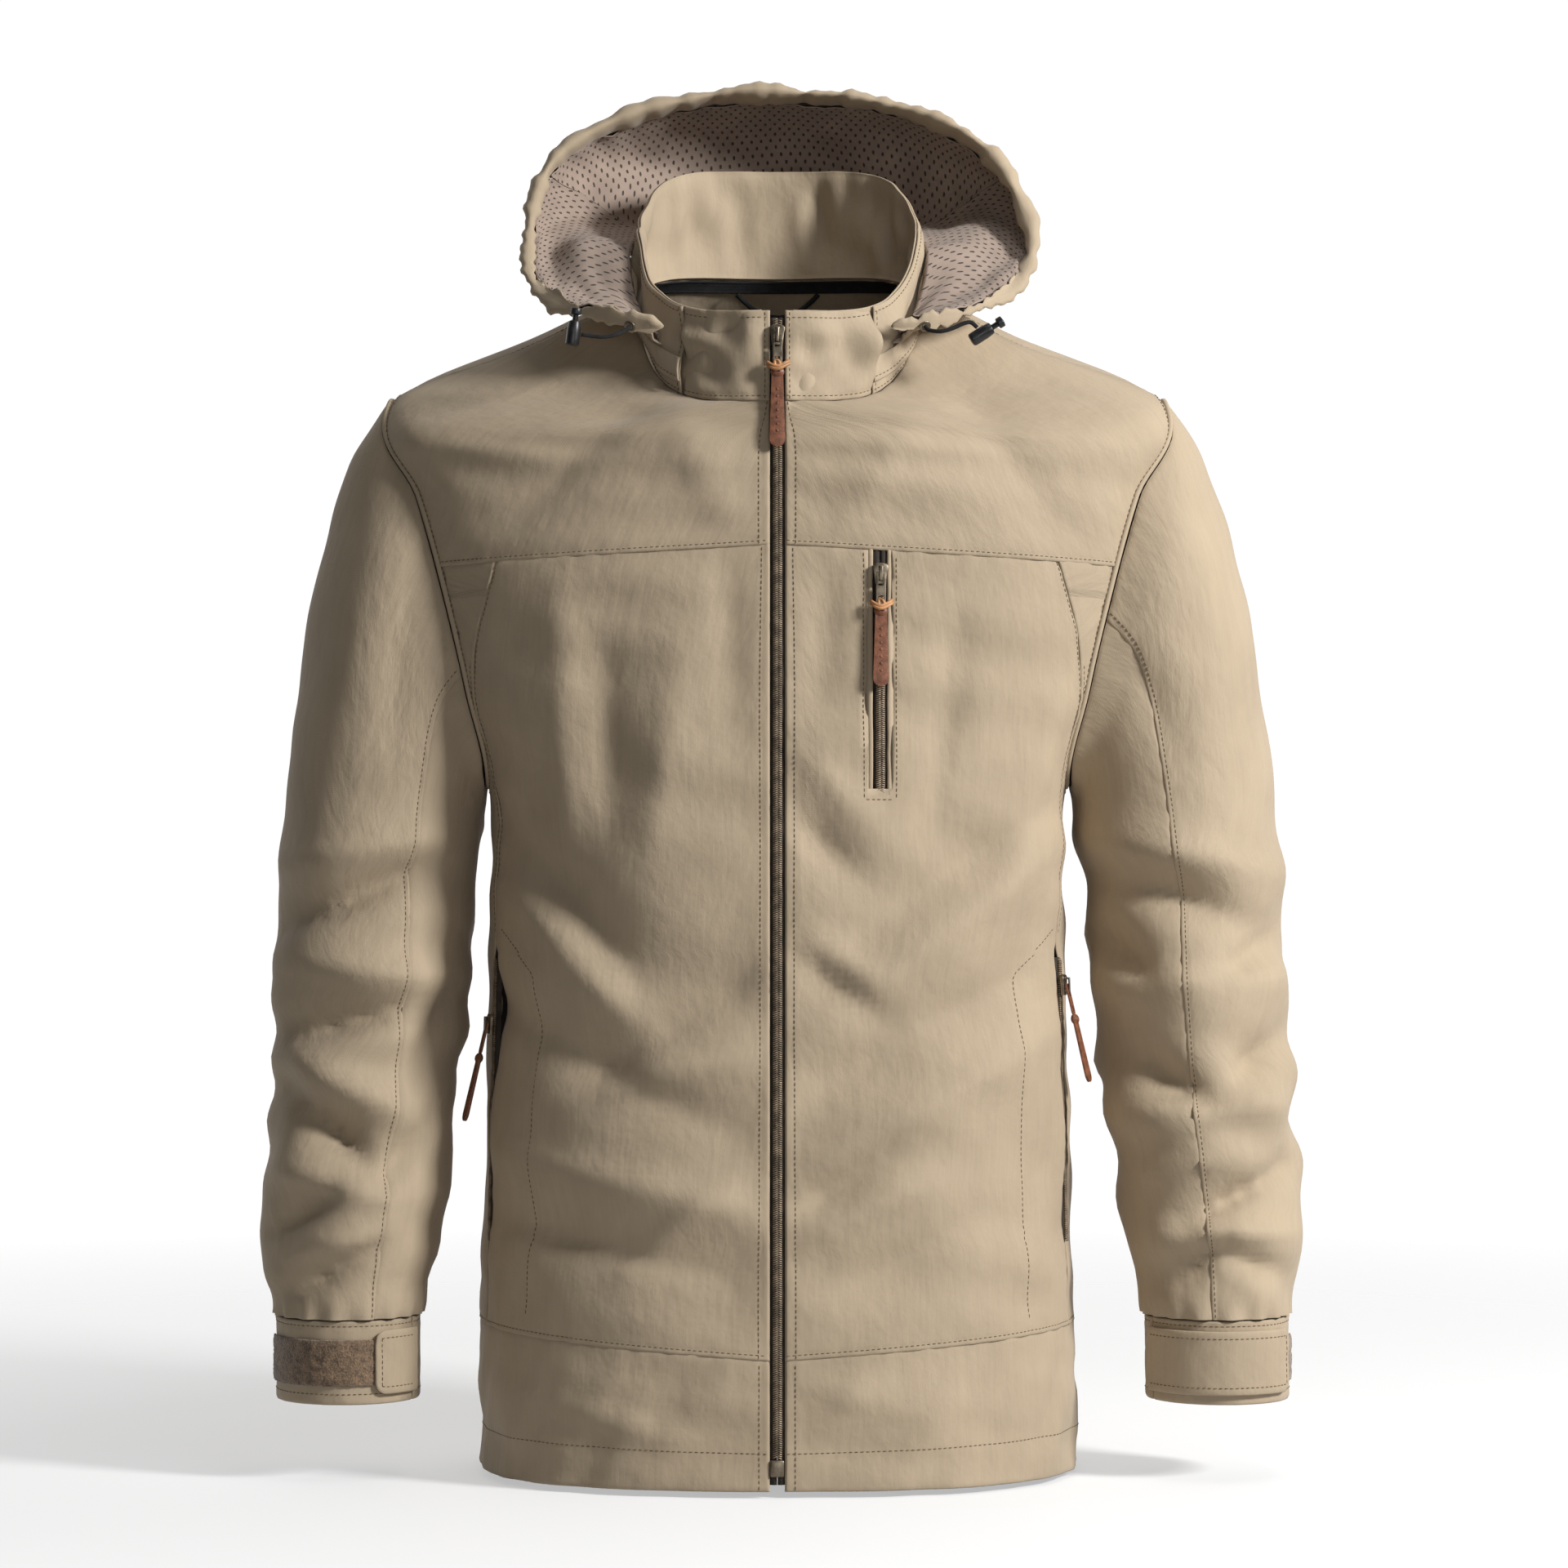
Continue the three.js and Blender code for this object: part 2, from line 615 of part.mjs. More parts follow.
// One ring of a sleeve, as points by turn: 90 degrees is outward, 180 forward, 270 toward the body
function sleeveRingPoint(index, turn, side) {
  if (index === 0) return armholePoint(turn).addScaledVector(ARM_AXIS, SLEEVE_STAND_OFF);
  const ring = SLEEVE_RINGS[index - 1];
  const lean = side.lean * (1 - ring.z / SHOULDER_Z);
  return new THREE.Vector3(
    SHOULDER_HALF + ring.out + lean + ring.half * Math.sin(turn),
    ring.y + ring.deep * Math.cos(turn),
    ring.z + ring.tilt * Math.sin(turn),
  );
}

// Smooth point along the sleeve, t = 0 at the cuff and 1 at the armhole
function sleevePoint(turn, t, side) {
  const last = SLEEVE_RINGS.length;
  const place = (1 - t) * last;
  const i = Math.min(Math.floor(place), last - 1);
  const at = (k) => sleeveRingPoint(THREE.MathUtils.clamp(k, 0, last), turn, side);
  const points = [i - 1, i, i + 1, i + 2].map(at);
  const f = place - i;
  const blend = (a, b, c, d) => b + 0.5 * f * (c - a + f * (2 * a - 5 * b + 4 * c - d + f * (3 * (b - c) + d - a)));
  const [a, b, c, d] = points;
  return new THREE.Vector3(blend(a.x, b.x, c.x, d.x), blend(a.y, b.y, c.y, d.y), blend(a.z, b.z, c.z, d.z));
}

// The seams lie on turns that the armhole's own corners share, and s runs anticlockwise from above
function sleevePanel(side, name, fromTurn, toTurn, columns) {
  const gap = 0.3;
  const surface = (s, t) => sleevePoint(radians(lerp(fromTurn - gap, toTurn + gap, s)), t, side);
  return part(name, sheet(onSide(side, surface), columns, 14, SHELL), KHAKI);
}

function sleeve(side) {
  const upper = sleevePanel(side, `sleeve_upper_${side.name}`, side.frontSeam, SLEEVE_BACK_SEAM, 12);
  const under = sleevePanel(side, `sleeve_under_${side.name}`, SLEEVE_BACK_SEAM, side.frontSeam - 360, 8);
  return [upper, under];
}

function cuffPoint(turn, height, side) {
  const lean = side.lean * (1 - height / SHOULDER_Z);
  return new THREE.Vector3(
    SHOULDER_HALF + CUFF_OUT + lean + CUFF_HALF * Math.sin(turn), CUFF_Y + CUFF_DEEP * Math.cos(turn), height,
  );
}

// A strip of the cuff between two turns and two heights
function cuffStrip(side, fromTurn, toTurn, low, high, columns, thickness, proud) {
  const surface = (s, t) => cuffPoint(radians(lerp(fromTurn, toTurn, s)), lerp(low, high, t), side);
  return sheet(onSide(side, surface), columns, 1, thickness, proud);
}

function cuff(side) {
  const low = CUFF_TOP - CUFF_HEIGHT;
  const middle = CUFF_TOP - CUFF_HEIGHT / 2;
  const bandGap = 0.4;
  const band = cuffStrip(side, TAB_ROOT - bandGap, TAB_ROOT - 360 + bandGap, low, CUFF_TOP, 20, SHELL, 0);
  const patchTop = middle + PATCH_HEIGHT / 2;
  const patch = cuffStrip(side, 232, 100, patchTop - PATCH_HEIGHT, patchTop, 8, 1, 1 + LAYER_GAP);
  const tabLow = middle - TAB_HEIGHT / 2;
  const tabThick = SHELL - 0.6;
  const tabProud = 1 + 2 * LAYER_GAP + tabThick - TOUCH;
  const tab = cuffStrip(side, TAB_ROOT, side.tabEnd, tabLow, tabLow + TAB_HEIGHT, 8, tabThick, tabProud);
  return [
    part(`cuff_band_${side.name}`, band, KHAKI),
    part(`cuff_patch_${side.name}`, patch, FUZZ),
    part(`cuff_tab_${side.name}`, tab, KHAKI),
  ];
}

// ---------------------------------------------------------------- zips

// A group whose own z runs up the zip and whose -y faces out of the cloth
function zipFrame(bottom, top, out) {
  const up = top.clone().sub(bottom).normalize();
  const inward = out.clone().negate();
  const side = inward.clone().cross(up).normalize();
  inward.copy(up.clone().cross(side));
  const group = new THREE.Group();
  group.quaternion.setFromRotationMatrix(new THREE.Matrix4().makeBasis(side, inward, up));
  group.position.copy(bottom);
  return group;
}

function mainZipFrame() {
  const low = new THREE.Vector3(0, -frontDepth(0), 0);
  const high = new THREE.Vector3(0, -frontDepth(NECK_FRONT_Z), NECK_FRONT_Z);
  return zipFrame(low, high, new THREE.Vector3(0, -1, 0));
}

function chestPoint(height) {
  return bodyPoint(frontAngle(CHEST_ZIP_X, bodyRing(height)), height);
}

function outwardAt(angle, v) {
  const surface = (s, t) => bodyPoint(angle + 0.2 * (s - 0.5), v + 20 * (t - 0.5));
  return normalOf(surface, 0.5, 0.5);
}

function chestZipFrame() {
  const middle = CHEST_ZIP_BOTTOM + CHEST_ZIP_LENGTH / 2;
  const out = outwardAt(frontAngle(CHEST_ZIP_X, bodyRing(middle)), middle);
  return zipFrame(chestPoint(CHEST_ZIP_BOTTOM), chestPoint(CHEST_ZIP_BOTTOM + CHEST_ZIP_LENGTH), out);
}

function pocketZipFrame(side) {
  const top = POCKET_ZIP_BOTTOM + POCKET_ZIP_LENGTH;
  const at = (height) => bodyPoint(princessAngle(height), height).multiply(new THREE.Vector3(side.mirror, 1, 1));
  const out = outwardAt(princessAngle(POCKET_ZIP_BOTTOM), (POCKET_ZIP_BOTTOM + top) / 2);
  out.x *= side.mirror;
  return zipFrame(at(POCKET_ZIP_BOTTOM), at(top), out);
}

// A slot through the cloth round a zip, placed in the jacket's frame
function slot(frame, half, bottom, top) {
  frame.updateMatrix();
  const room = 9;
  return block(-half, half, -room, room, bottom, top).applyMatrix4(frame.matrix);
}

const chestSlot = () => slot(chestZipFrame(), CHEST_SLOT_HALF, -TOUCH, CHEST_ZIP_LENGTH + 20);
const pocketSlot = (side) => slot(pocketZipFrame(side), POCKET_SLOT_HALF, -TOUCH, POCKET_ZIP_LENGTH + TOUCH);

// Section of one half of a zip: a row of teeth standing on its tape
function zipHalf(mirror, tapeHalf) {
  const gap = 0.15;
  const corners = [
    [gap, -TEETH_PROUD], [TEETH_HALF, -TEETH_PROUD], [TEETH_HALF, TAPE_DEPTH], [tapeHalf, TAPE_DEPTH],
    [tapeHalf, TAPE_DEPTH + TAPE_THICK], [gap, TAPE_DEPTH + TAPE_THICK],
  ];
  const points = corners.map(([x, y]) => new THREE.Vector2(x * mirror, y));
  return new THREE.Shape(mirror > 0 ? points : points.reverse());
}

// Section of a whole closed zip
function zipWhole(tapeHalf) {
  return new THREE.Shape([
    [-TEETH_HALF, -TEETH_PROUD], [TEETH_HALF, -TEETH_PROUD], [TEETH_HALF, TAPE_DEPTH], [tapeHalf, TAPE_DEPTH],
    [tapeHalf, TAPE_DEPTH + TAPE_THICK], [-tapeHalf, TAPE_DEPTH + TAPE_THICK], [-tapeHalf, TAPE_DEPTH],
    [-TEETH_HALF, TAPE_DEPTH],
  ].map(([x, y]) => new THREE.Vector2(x, y)));
}

const strip = (shape, depth) => new THREE.ExtrudeGeometry(shape, { depth, steps: 1, bevelEnabled: false });

const PLATE_FRONT = -TEETH_PROUD - TOUCH - SLIDER_PLATE;
const BAR_Y = PLATE_FRONT - ARCH_ROOM / 2;

// The slider lies on the teeth: a shield-shaped plate with an arch for the puller's bar
function sliderGeometry() {
  const shield = new THREE.Shape();
  const half = SLIDER_LENGTH / 2;
  shield.moveTo(-SLIDER_HALF * 0.7, -half);
  shield.lineTo(SLIDER_HALF * 0.7, -half);
  shield.quadraticCurveTo(SLIDER_HALF * 0.75, 0, SLIDER_HALF, half * 0.6);
  shield.quadraticCurveTo(SLIDER_HALF * 0.9, half, 0, half);
  shield.quadraticCurveTo(-SLIDER_HALF * 0.9, half, -SLIDER_HALF, half * 0.6);
  shield.quadraticCurveTo(-SLIDER_HALF * 0.75, 0, -SLIDER_HALF * 0.7, -half);
  const plate = new THREE.ExtrudeGeometry(shield, { depth: SLIDER_PLATE, curveSegments: 3, bevelEnabled: false });
  plate.rotateX(Math.PI / 2).translate(0, -TEETH_PROUD - TOUCH, 0);
  const foot = (z) => block(
    -ARCH_HALF_WIDTH, ARCH_HALF_WIDTH, PLATE_FRONT - ARCH_ROOM - ARCH_THICK, PLATE_FRONT + 1, z - 0.5, z + 0.5,
  );
  const reach = ARCH_LENGTH / 2;
  const top = block(
    -ARCH_HALF_WIDTH, ARCH_HALF_WIDTH, PLATE_FRONT - ARCH_ROOM - ARCH_THICK, PLATE_FRONT - ARCH_ROOM, -reach, reach,
  );
  return join(plate, foot(reach - 0.5), foot(0.5 - reach), top);
}

// The puller hangs from a bar under the arch and has an eye for the strap: its plate, then its two holes
function pullerPieces() {
  const window = ARCH_LENGTH / 2 + 3;
  const outline = new THREE.Shape();
  outline.moveTo(-PULLER_HALF, 0.6);
  outline.lineTo(-PULLER_HALF, -PULLER_LENGTH + 2);
  outline.quadraticCurveTo(-PULLER_HALF, -PULLER_LENGTH, 0, -PULLER_LENGTH);
  outline.quadraticCurveTo(PULLER_HALF, -PULLER_LENGTH, PULLER_HALF, -PULLER_LENGTH + 2);
  outline.lineTo(PULLER_HALF, 0.6);
  const plate = new THREE.ExtrudeGeometry(outline, { depth: PULLER_THICK, curveSegments: 3, bevelEnabled: false });
  plate.rotateX(Math.PI / 2).translate(0, PULLER_THICK / 2, 0);
  const hole = (half, high, low) => block(-half, half, -PULLER_THICK, PULLER_THICK, low, high);
  return [plate, hole(ARCH_HALF_WIDTH + 0.6, -0.6, -window), hole(1.6, -PULLER_LENGTH + 5.5, -PULLER_LENGTH + 2)];
}

// The leather strap that hangs below the puller, and the knot it hangs from
function strapPieces(length) {
  const top = -PULLER_LENGTH - TOUCH - 2 * KNOT_RADIUS * 0.8;
  const outline = new THREE.Shape();
  const end = top - length + STRAP_HALF_END;
  outline.moveTo(-STRAP_HALF_TOP, top + KNOT_RADIUS);
  outline.lineTo(-STRAP_HALF_END, end);
  outline.absarc(0, end, STRAP_HALF_END, Math.PI, 2 * Math.PI, false);
  outline.lineTo(STRAP_HALF_TOP, top + KNOT_RADIUS);
  const strap = new THREE.ExtrudeGeometry(outline, { depth: STRAP_THICK, curveSegments: 6, bevelEnabled: false });
  strap.rotateX(Math.PI / 2).translate(0, STRAP_THICK / 2, 0);
  const knot = new THREE.SphereGeometry(KNOT_RADIUS, 10, 6).scale(1, 0.55, 0.8);
  knot.translate(0, 0, top + KNOT_RADIUS * 0.8);
  return [strap, knot];
}

// A slider with its puller and strap, at a height on its zip, the pull swung out by an angle
function sliderSet(name, height, swing, strapLength) {
  const slider = part(`${name}_slider`, sliderGeometry(), ZIP_METAL);
  slider.position.z = height;
  const pull = new THREE.Group();
  pull.position.set(0, BAR_Y, height);
  pull.rotation.x = -radians(swing);
  pull.add(part(`${name}_puller`, cut(...pullerPieces()), ZIP_METAL));
  pull.add(part(`${name}_strap`, join(...strapPieces(strapLength)), LEATHER));
  return [slider, pull];
}

function mainZip() {
  const frame = mainZipFrame();
  const along = Math.hypot(NECK_FRONT_Z, HEM_FRONT - NECK_FRONT) / NECK_FRONT_Z;
  const top = (NECK_FRONT_Z + COLLAR_FRONT) * along - 2;
  for (const side of SIDES) {
    const half = strip(zipHalf(side.mirror, TAPE_HALF), top - MAIN_ZIP_BOTTOM);
    const mesh = part(`main_zip_${side.name}`, half, COIL);
    mesh.position.z = MAIN_ZIP_BOTTOM;
    frame.add(mesh);
  }
  const boxTop = MAIN_ZIP_BOTTOM - TOUCH;
  const half = ZIP_EDGE - TOUCH;
  const box = block(-half, half, -TEETH_PROUD - 0.8, TAPE_DEPTH, boxTop - BOX_HEIGHT, boxTop);
  frame.add(part('main_zip_box', box, ZIP_METAL));
  frame.add(...sliderSet('main_zip', MAIN_SLIDER_Z * along, 0, STRAP_LENGTH));
  return frame;
}

function chestZip() {
  const frame = chestZipFrame();
  frame.add(part('chest_zip', strip(zipWhole(CHEST_SLOT_HALF + 3), CHEST_ZIP_LENGTH), COIL));
  frame.add(...sliderSet('chest_zip', CHEST_ZIP_LENGTH - SLIDER_LENGTH / 2 - 1, 0, STRAP_LENGTH));
  return frame;
}

// A pocket's strap is sewn straight to its puller, so that the two are one piece
function pocketZip(side) {
  const frame = pocketZipFrame(side);
  frame.add(part(`pocket_zip_${side.name}`, strip(zipWhole(POCKET_SLOT_HALF + 2), POCKET_ZIP_LENGTH), COIL));
  const height = side.pocketSlider - POCKET_ZIP_BOTTOM;
  const name = `pocket_zip_${side.name}`;
  const slider = part(`${name}_slider`, sliderGeometry(), ZIP_METAL);
  slider.position.z = height;
  const [plate, ...holes] = pullerPieces();
  const sewn = strapPieces(STRAP_LENGTH - 6).map((piece) => piece.translate(0, 0, 1));
  const pull = part(`${name}_pull`, join(cut(plate, ...holes), ...sewn), LEATHER);
  pull.position.set(0, BAR_Y, height);
  pull.rotation.x = -radians(12);
  frame.add(slider, pull);
  return frame;
}

// ---------------------------------------------------------------- pocket bags

const BAG_DEPTH = TAPE_DEPTH + TAPE_THICK + LAYER_GAP;

function chestBag() {
  const low = CHEST_ZIP_BOTTOM - 8;
  const surface = (s, t) => {
    const height = lerp(low, YOKE_Z - 6, t);
    return bodyPoint(frontAngle(lerp(CHEST_ZIP_X - 40, CHEST_ZIP_X + 50, s), bodyRing(height)), height);
  };
  return part('chest_pocket_bag', sheet(surface, 4, 4, LINING, -BAG_DEPTH), MESH);
}

function pocketBag(side) {
  const surface = (s, t) => {
    const height = lerp(POCKET_ZIP_BOTTOM - 35, POCKET_ZIP_BOTTOM + POCKET_ZIP_LENGTH + 5, t);
    const ring = bodyRing(height);
    return bodyPoint(lerp(frontAngle(30, ring), radians(PRINCESS_ANGLE - 1), s), height);
  };
  const bag = sheet(onSide(side, surface), 5, 5, LINING, -BAG_DEPTH);
  return part(`pocket_bag_${side.name}`, bag, MESH);
}

// ---------------------------------------------------------------- drawcord

function lathe(profile, sides) {
  const points = profile.map(([radius, height]) => new THREE.Vector2(radius, height));
  return new THREE.LatheGeometry(points, sides).rotateX(Math.PI / 2);
}

// A barrel with a bore, and a sprung button whose stem slides in it
function cordLock(cord) {
  const group = new THREE.Group();
  group.position.set(...cord.lock);
  group.rotation.y = -radians(cord.tilt);
  const half = LOCK_LENGTH / 2;
  const barrel = lathe([
    [0, -half], [LOCK_RADIUS - 1, -half], [LOCK_RADIUS, 1 - half], [LOCK_RADIUS, half - 5],
    [LOCK_RADIUS - 0.6, half], [BORE_RADIUS, half], [BORE_RADIUS, half - BORE_DEPTH], [0, half - BORE_DEPTH],
  ], 12);
  const head = half + BUTTON_TRAVEL + TOUCH;
  const button = lathe([
    [0, half - STEM_REACH], [STEM_RADIUS, half - STEM_REACH], [STEM_RADIUS, head],
    [BUTTON_RADIUS, head + 0.4], [BUTTON_RADIUS, head + BUTTON_LENGTH - 0.6], [0, head + BUTTON_LENGTH],
  ], 12);
  group.add(part(`cord_lock_${cord.name}`, barrel, BLACK_PLASTIC));
  group.add(part(`cord_button_${cord.name}`, button, BLACK_PLASTIC));
  return group;
}

function drawcord(cord) {
  const route = new THREE.CatmullRomCurve3(cord.route.map((point) => new THREE.Vector3(...point)));
  return part(`drawcord_${cord.name}`, tube(route, CORD_RADIUS, 8, 8), BLACK_TAPE);
}

// ---------------------------------------------------------------- the jacket

const jacket = new THREE.Group();
jacket.position.z = -NECK_SIDE_Z;
jacket.add(backYoke(), backPanel(), backHemBand());
jacket.add(collarBack(), collarFacing(), hoodBand(), neckTape(), hangerLoop());
for (const side of SIDES) {
  jacket.add(frontYoke(side), frontPanel(side), sidePanel(side), frontHemBand(side), collarFront(side));
  jacket.add(...sleeve(side), ...cuff(side), pocketZip(side), pocketBag(side));
}
jacket.add(...hoodPanels(), hoodBrim());
jacket.add(mainZip(), chestZip(), chestBag());
for (const cord of CORDS) jacket.add(cordLock(cord), drawcord(cord));

export default jacket;
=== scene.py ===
"""A khaki hooded zip jacket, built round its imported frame."""
import math

import bmesh
import bpy
import numpy as np
from mathutils import Matrix, Vector


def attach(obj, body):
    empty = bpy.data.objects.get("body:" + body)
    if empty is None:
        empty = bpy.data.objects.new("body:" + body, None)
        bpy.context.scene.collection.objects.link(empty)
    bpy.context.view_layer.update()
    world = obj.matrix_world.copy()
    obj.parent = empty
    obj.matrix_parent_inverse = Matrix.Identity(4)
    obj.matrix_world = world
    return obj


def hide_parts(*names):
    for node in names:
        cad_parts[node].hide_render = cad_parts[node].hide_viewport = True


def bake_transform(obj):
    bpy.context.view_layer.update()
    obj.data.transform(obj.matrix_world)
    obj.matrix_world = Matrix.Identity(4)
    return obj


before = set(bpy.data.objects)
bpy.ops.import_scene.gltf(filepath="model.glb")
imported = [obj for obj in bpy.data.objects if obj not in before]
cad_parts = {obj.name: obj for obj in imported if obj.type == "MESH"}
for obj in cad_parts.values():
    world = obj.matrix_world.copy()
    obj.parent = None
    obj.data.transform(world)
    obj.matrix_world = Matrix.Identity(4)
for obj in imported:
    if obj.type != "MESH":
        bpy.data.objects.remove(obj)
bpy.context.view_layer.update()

bl_info = {
    "name": "Hooded Zip Jacket",
    "version": (1, 0, 0),
    "blender": (4, 5, 0),
    "location": "View3D > Sidebar > Jacket",
    "description": "Builds a hooded zip jacket from its packed frame",
    "category": "Add Mesh",
}

LEFT, RIGHT = "left", "right"
SIDES = {LEFT: 1, RIGHT: -1}
OTHER = {LEFT: RIGHT, RIGHT: LEFT}
DEGREE = math.pi / 180
MM = 0.001
SHOULDER, NECK = 0.66, 0.728
NECK_FRONT, COLLAR_FRONT = 0.654, 0.706
ARM_LEVEL, ARM_TALL, ARM_WIDE = 0.54, 0.12, 0.09
ZIP_EDGE = 0.0045
SEAM_ROW, STITCH_OUT = 0.0033, 0.0045
RIB = 0.0009


# ---------------------------------------------------------------- sizes and colours


def length(name, default, words):
    return bpy.props.FloatProperty(
        name=name, description=words, default=default, min=0.0, unit="LENGTH", subtype="DISTANCE"
    )


def colour(name, default, words):
    return bpy.props.FloatVectorProperty(
        name=name, description=words, default=default, min=0.0, max=1.0, size=3, subtype="COLOR"
    )


class JacketSizes(bpy.types.PropertyGroup):
    hem_half: length("Hem half width", 0.186, "Half the width of the body at the hem")
    waist_half: length("Waist half width", 0.18, "Half the width of the body at the waist")
    underarm_half: length("Underarm half width", 0.18, "Half the width of the body under the arms")
    shoulder_half: length("Shoulder half width", 0.241, "Half the width across the shoulder points")
    neck_half: length("Neck half width", 0.088, "Half the width of the neck seam")
    hem_front: length("Hem front depth", 0.14, "How far the front hem lies ahead of the side line")
    neck_front: length("Neck front depth", 0.0955, "How far the front neck lies ahead of the side line")
    hem_back: length("Hem back depth", 0.12, "How far the back hem lies behind the side line")
    chest_back: length("Chest back depth", 0.13, "How far the back lies behind the side line at the chest")
    shoulder_back: length("Shoulder back depth", 0.112, "How far the back lies behind it at the shoulders")
    neck_back: length("Neck back depth", 0.08, "How far the back neck lies behind the side line")
    cloth: length("Cloth thickness", 0.0011, "Thickness of one panel with its lining")
    cell: length("Cloth cell", 0.0048, "Size of one cell of a finished panel")
    stitch: length("Stitch", 0.0034, "Distance from one stitch to the next")
    thread: length("Thread", 0.00034, "Half the thickness of the sewing thread")
    tooth: length("Tooth pitch", 0.0013, "Distance from one zip tooth to the next")


class JacketColours(bpy.types.PropertyGroup):
    khaki: colour("Khaki", (0.43, 0.34, 0.235), "Shell cloth")
    thread: colour("Thread", (0.22, 0.155, 0.085), "Topstitching")
    lining: colour("Lining", (0.35, 0.27, 0.22), "Perforated mesh lining")
    # painted shade: the inside colour is dark to stand in for the shade inside the body
    inside: colour("Inside", (0.09, 0.07, 0.052), "Plain lining of the body")
    tape: colour("Tape", (0.045, 0.035, 0.027), "Zip tape")
    coil: colour("Coil", (0.34, 0.265, 0.19), "Zip teeth")
    metal: colour("Metal", (0.25, 0.205, 0.15), "Zip slider and puller")
    leather: colour("Leather", (0.21, 0.075, 0.035), "Leather pull straps")
    thong: colour("Thong", (0.5, 0.24, 0.1), "Cord knot of the pull straps")
    pile: colour("Pile", (0.19, 0.12, 0.068), "Fuzzy half of the hook and loop fastening")
    black: colour("Black", (0.012, 0.012, 0.013), "Cord locks and cord")


def sizes():
    return bpy.context.scene.jacket_sizes


def tint(name):
    return (*getattr(bpy.context.scene.jacket_colours, name), 1.0)


# ---------------------------------------------------------------- node sums


class Shade:
    """A socket of a node tree that can be used in sums."""

    def __init__(self, tree, socket=None):
        self.tree, self.socket = tree, socket

    def node(self, kind, output=0, values=(), **settings):
        """A new node with its inputs, by name or number, and its settings."""
        made = self.tree.nodes.new(kind)
        for key, value in settings.items():
            setattr(made, key, value)
        for key, value in dict(values).items():
            if isinstance(value, Shade):
                self.tree.links.new(value.socket, made.inputs[key])
            else:
                made.inputs[key].default_value = value
        return Shade(self.tree, made.outputs[output])

    def maths(self, operation, *others):
        return self.node("ShaderNodeMath", 0, dict(enumerate((self, *others))), operation=operation)

    def __add__(self, other):
        return self.maths("ADD", other)

    def __sub__(self, other):
        return self.maths("SUBTRACT", other)

    def __mul__(self, other):
        return self.maths("MULTIPLY", other)

    def __rsub__(self, other):
        return self.maths("MULTIPLY", -1.0).maths("ADD", other)

    __radd__ = __add__
    __rmul__ = __mul__

    def wave(self, period):
        return (self * (2 * math.pi / period)).maths("SINE")

    def spread(self, low, high, to_low=0.0, to_high=1.0):
        return self.node("ShaderNodeMapRange", 0, dict(enumerate((self, low, high, to_low, to_high))), clamp=True)

    def split(self):
        made = self.tree.nodes.new("ShaderNodeSeparateXYZ")
        self.tree.links.new(self.socket, made.inputs[0])
        return [Shade(self.tree, output) for output in made.outputs]

    def between(self, first, second):
        """A colour from first, where this is 0, to second, where it is 1."""
        return self.node("ShaderNodeMix", 2, {0: self, 6: first, 7: second}, data_type="RGBA")

    def noise(self, scale, detail=2.0, stretch=(1.0, 1.0, 1.0)):
        place = self.node("ShaderNodeVectorMath", 0, {0: self, 1: stretch}, operation="MULTIPLY")
        return self.node("ShaderNodeTexNoise", 0, {"Vector": place, "Scale": scale, "Detail": detail})

    def bump(self):
        """Normals for this height in millimetres."""
        return self.node("ShaderNodeBump", 0, {"Height": self, "Distance": MM, "Strength": 1.0})


def finish_of(name, **fixed):
    """A material, its tree as a Shade, and a function that fills its shader's inputs."""
    material = bpy.data.materials.new(name)
    material.use_nodes = True
    tree = material.node_tree
    shader = tree.nodes["Principled BSDF"]
    for key, value in fixed.items():
        shader.inputs[key.replace("_", " ")].default_value = value

    def fill(key, shade):
        tree.links.new(shade.socket, shader.inputs[key])

    return material, Shade(tree), fill


def darker(rgba, share):
    return (*(c * share for c in rgba[:3]), 1.0)


def cloth_finish(name, rgba, slub=1.0, rough=0.78):
    """Washed cloth: fine lines along its length, a crumpled hand, and painted shade that darkens it beside the seams.
    """
    material, start, fill = finish_of(
        name, Roughness=rough, Sheen_Weight=0.12, Sheen_Roughness=0.45, Specular_IOR_Level=0.3
    )
    uv = start.node("ShaderNodeUVMap", 0, uv_map="UVMap")
    u, v, _ = uv.split()
    seam = start.node("ShaderNodeAttribute", 2, attribute_name="seam")
    lines = uv.noise(1.0, 3.0, (520.0, 26.0, 1.0))
    streaks = uv.noise(1.0, 2.0, (150.0, 9.0, 1.0))
    mottle = uv.noise(1.0, 3.0, (16.0, 11.0, 1.0))
    crumple = uv.noise(1.0, 4.0, (95.0, 70.0, 1.0))
    tone = lines * (0.14 * slub) + streaks * (0.1 * slub) + mottle * 0.4
    aged = tone.spread(0.1 * slub + 0.1, 0.14 * slub + 0.3).between(darker(rgba, 0.88), darker(rgba, 1.08))
    # painted shade: the seam mask darkens the colour within a few millimetres of each seam, in its shaded groove
    fill("Base Color", (seam * 0.22).between(aged, darker(rgba, 0.6)))
    threads = u.wave(RIB) * v.wave(RIB)
    height = lines * (0.1 * slub) + streaks * (0.14 * slub) + crumple * 0.9 + threads * 0.03
    fill("Normal", height.bump())
    return material


def mesh_finish(name, rgba):
    """Lining knitted with rows of small round holes, painted dark as the shade seen through them."""
    material, start, fill = finish_of(name, Roughness=0.85, Sheen_Weight=0.1, Specular_IOR_Level=0.25)
    uv = start.node("ShaderNodeUVMap", 0, uv_map="UVMap")
    u, v, _ = uv.split()
    holes = (u.wave(0.0062) * v.wave(0.0104)).spread(0.62, 0.8)
    soft = uv.noise(1.0, 2.0, (30.0, 30.0, 1.0))
    ground = soft.spread(0.3, 0.7).between(darker(rgba, 0.85), darker(rgba, 1.12))
    # painted shade: the holes are darkened in the colour for the shade behind the mesh
    fill("Base Color", holes.between(ground, darker(rgba, 0.22)))
    fill("Normal", (holes * -0.9 + u.wave(RIB) * v.wave(RIB) * 0.05).bump())
    return material


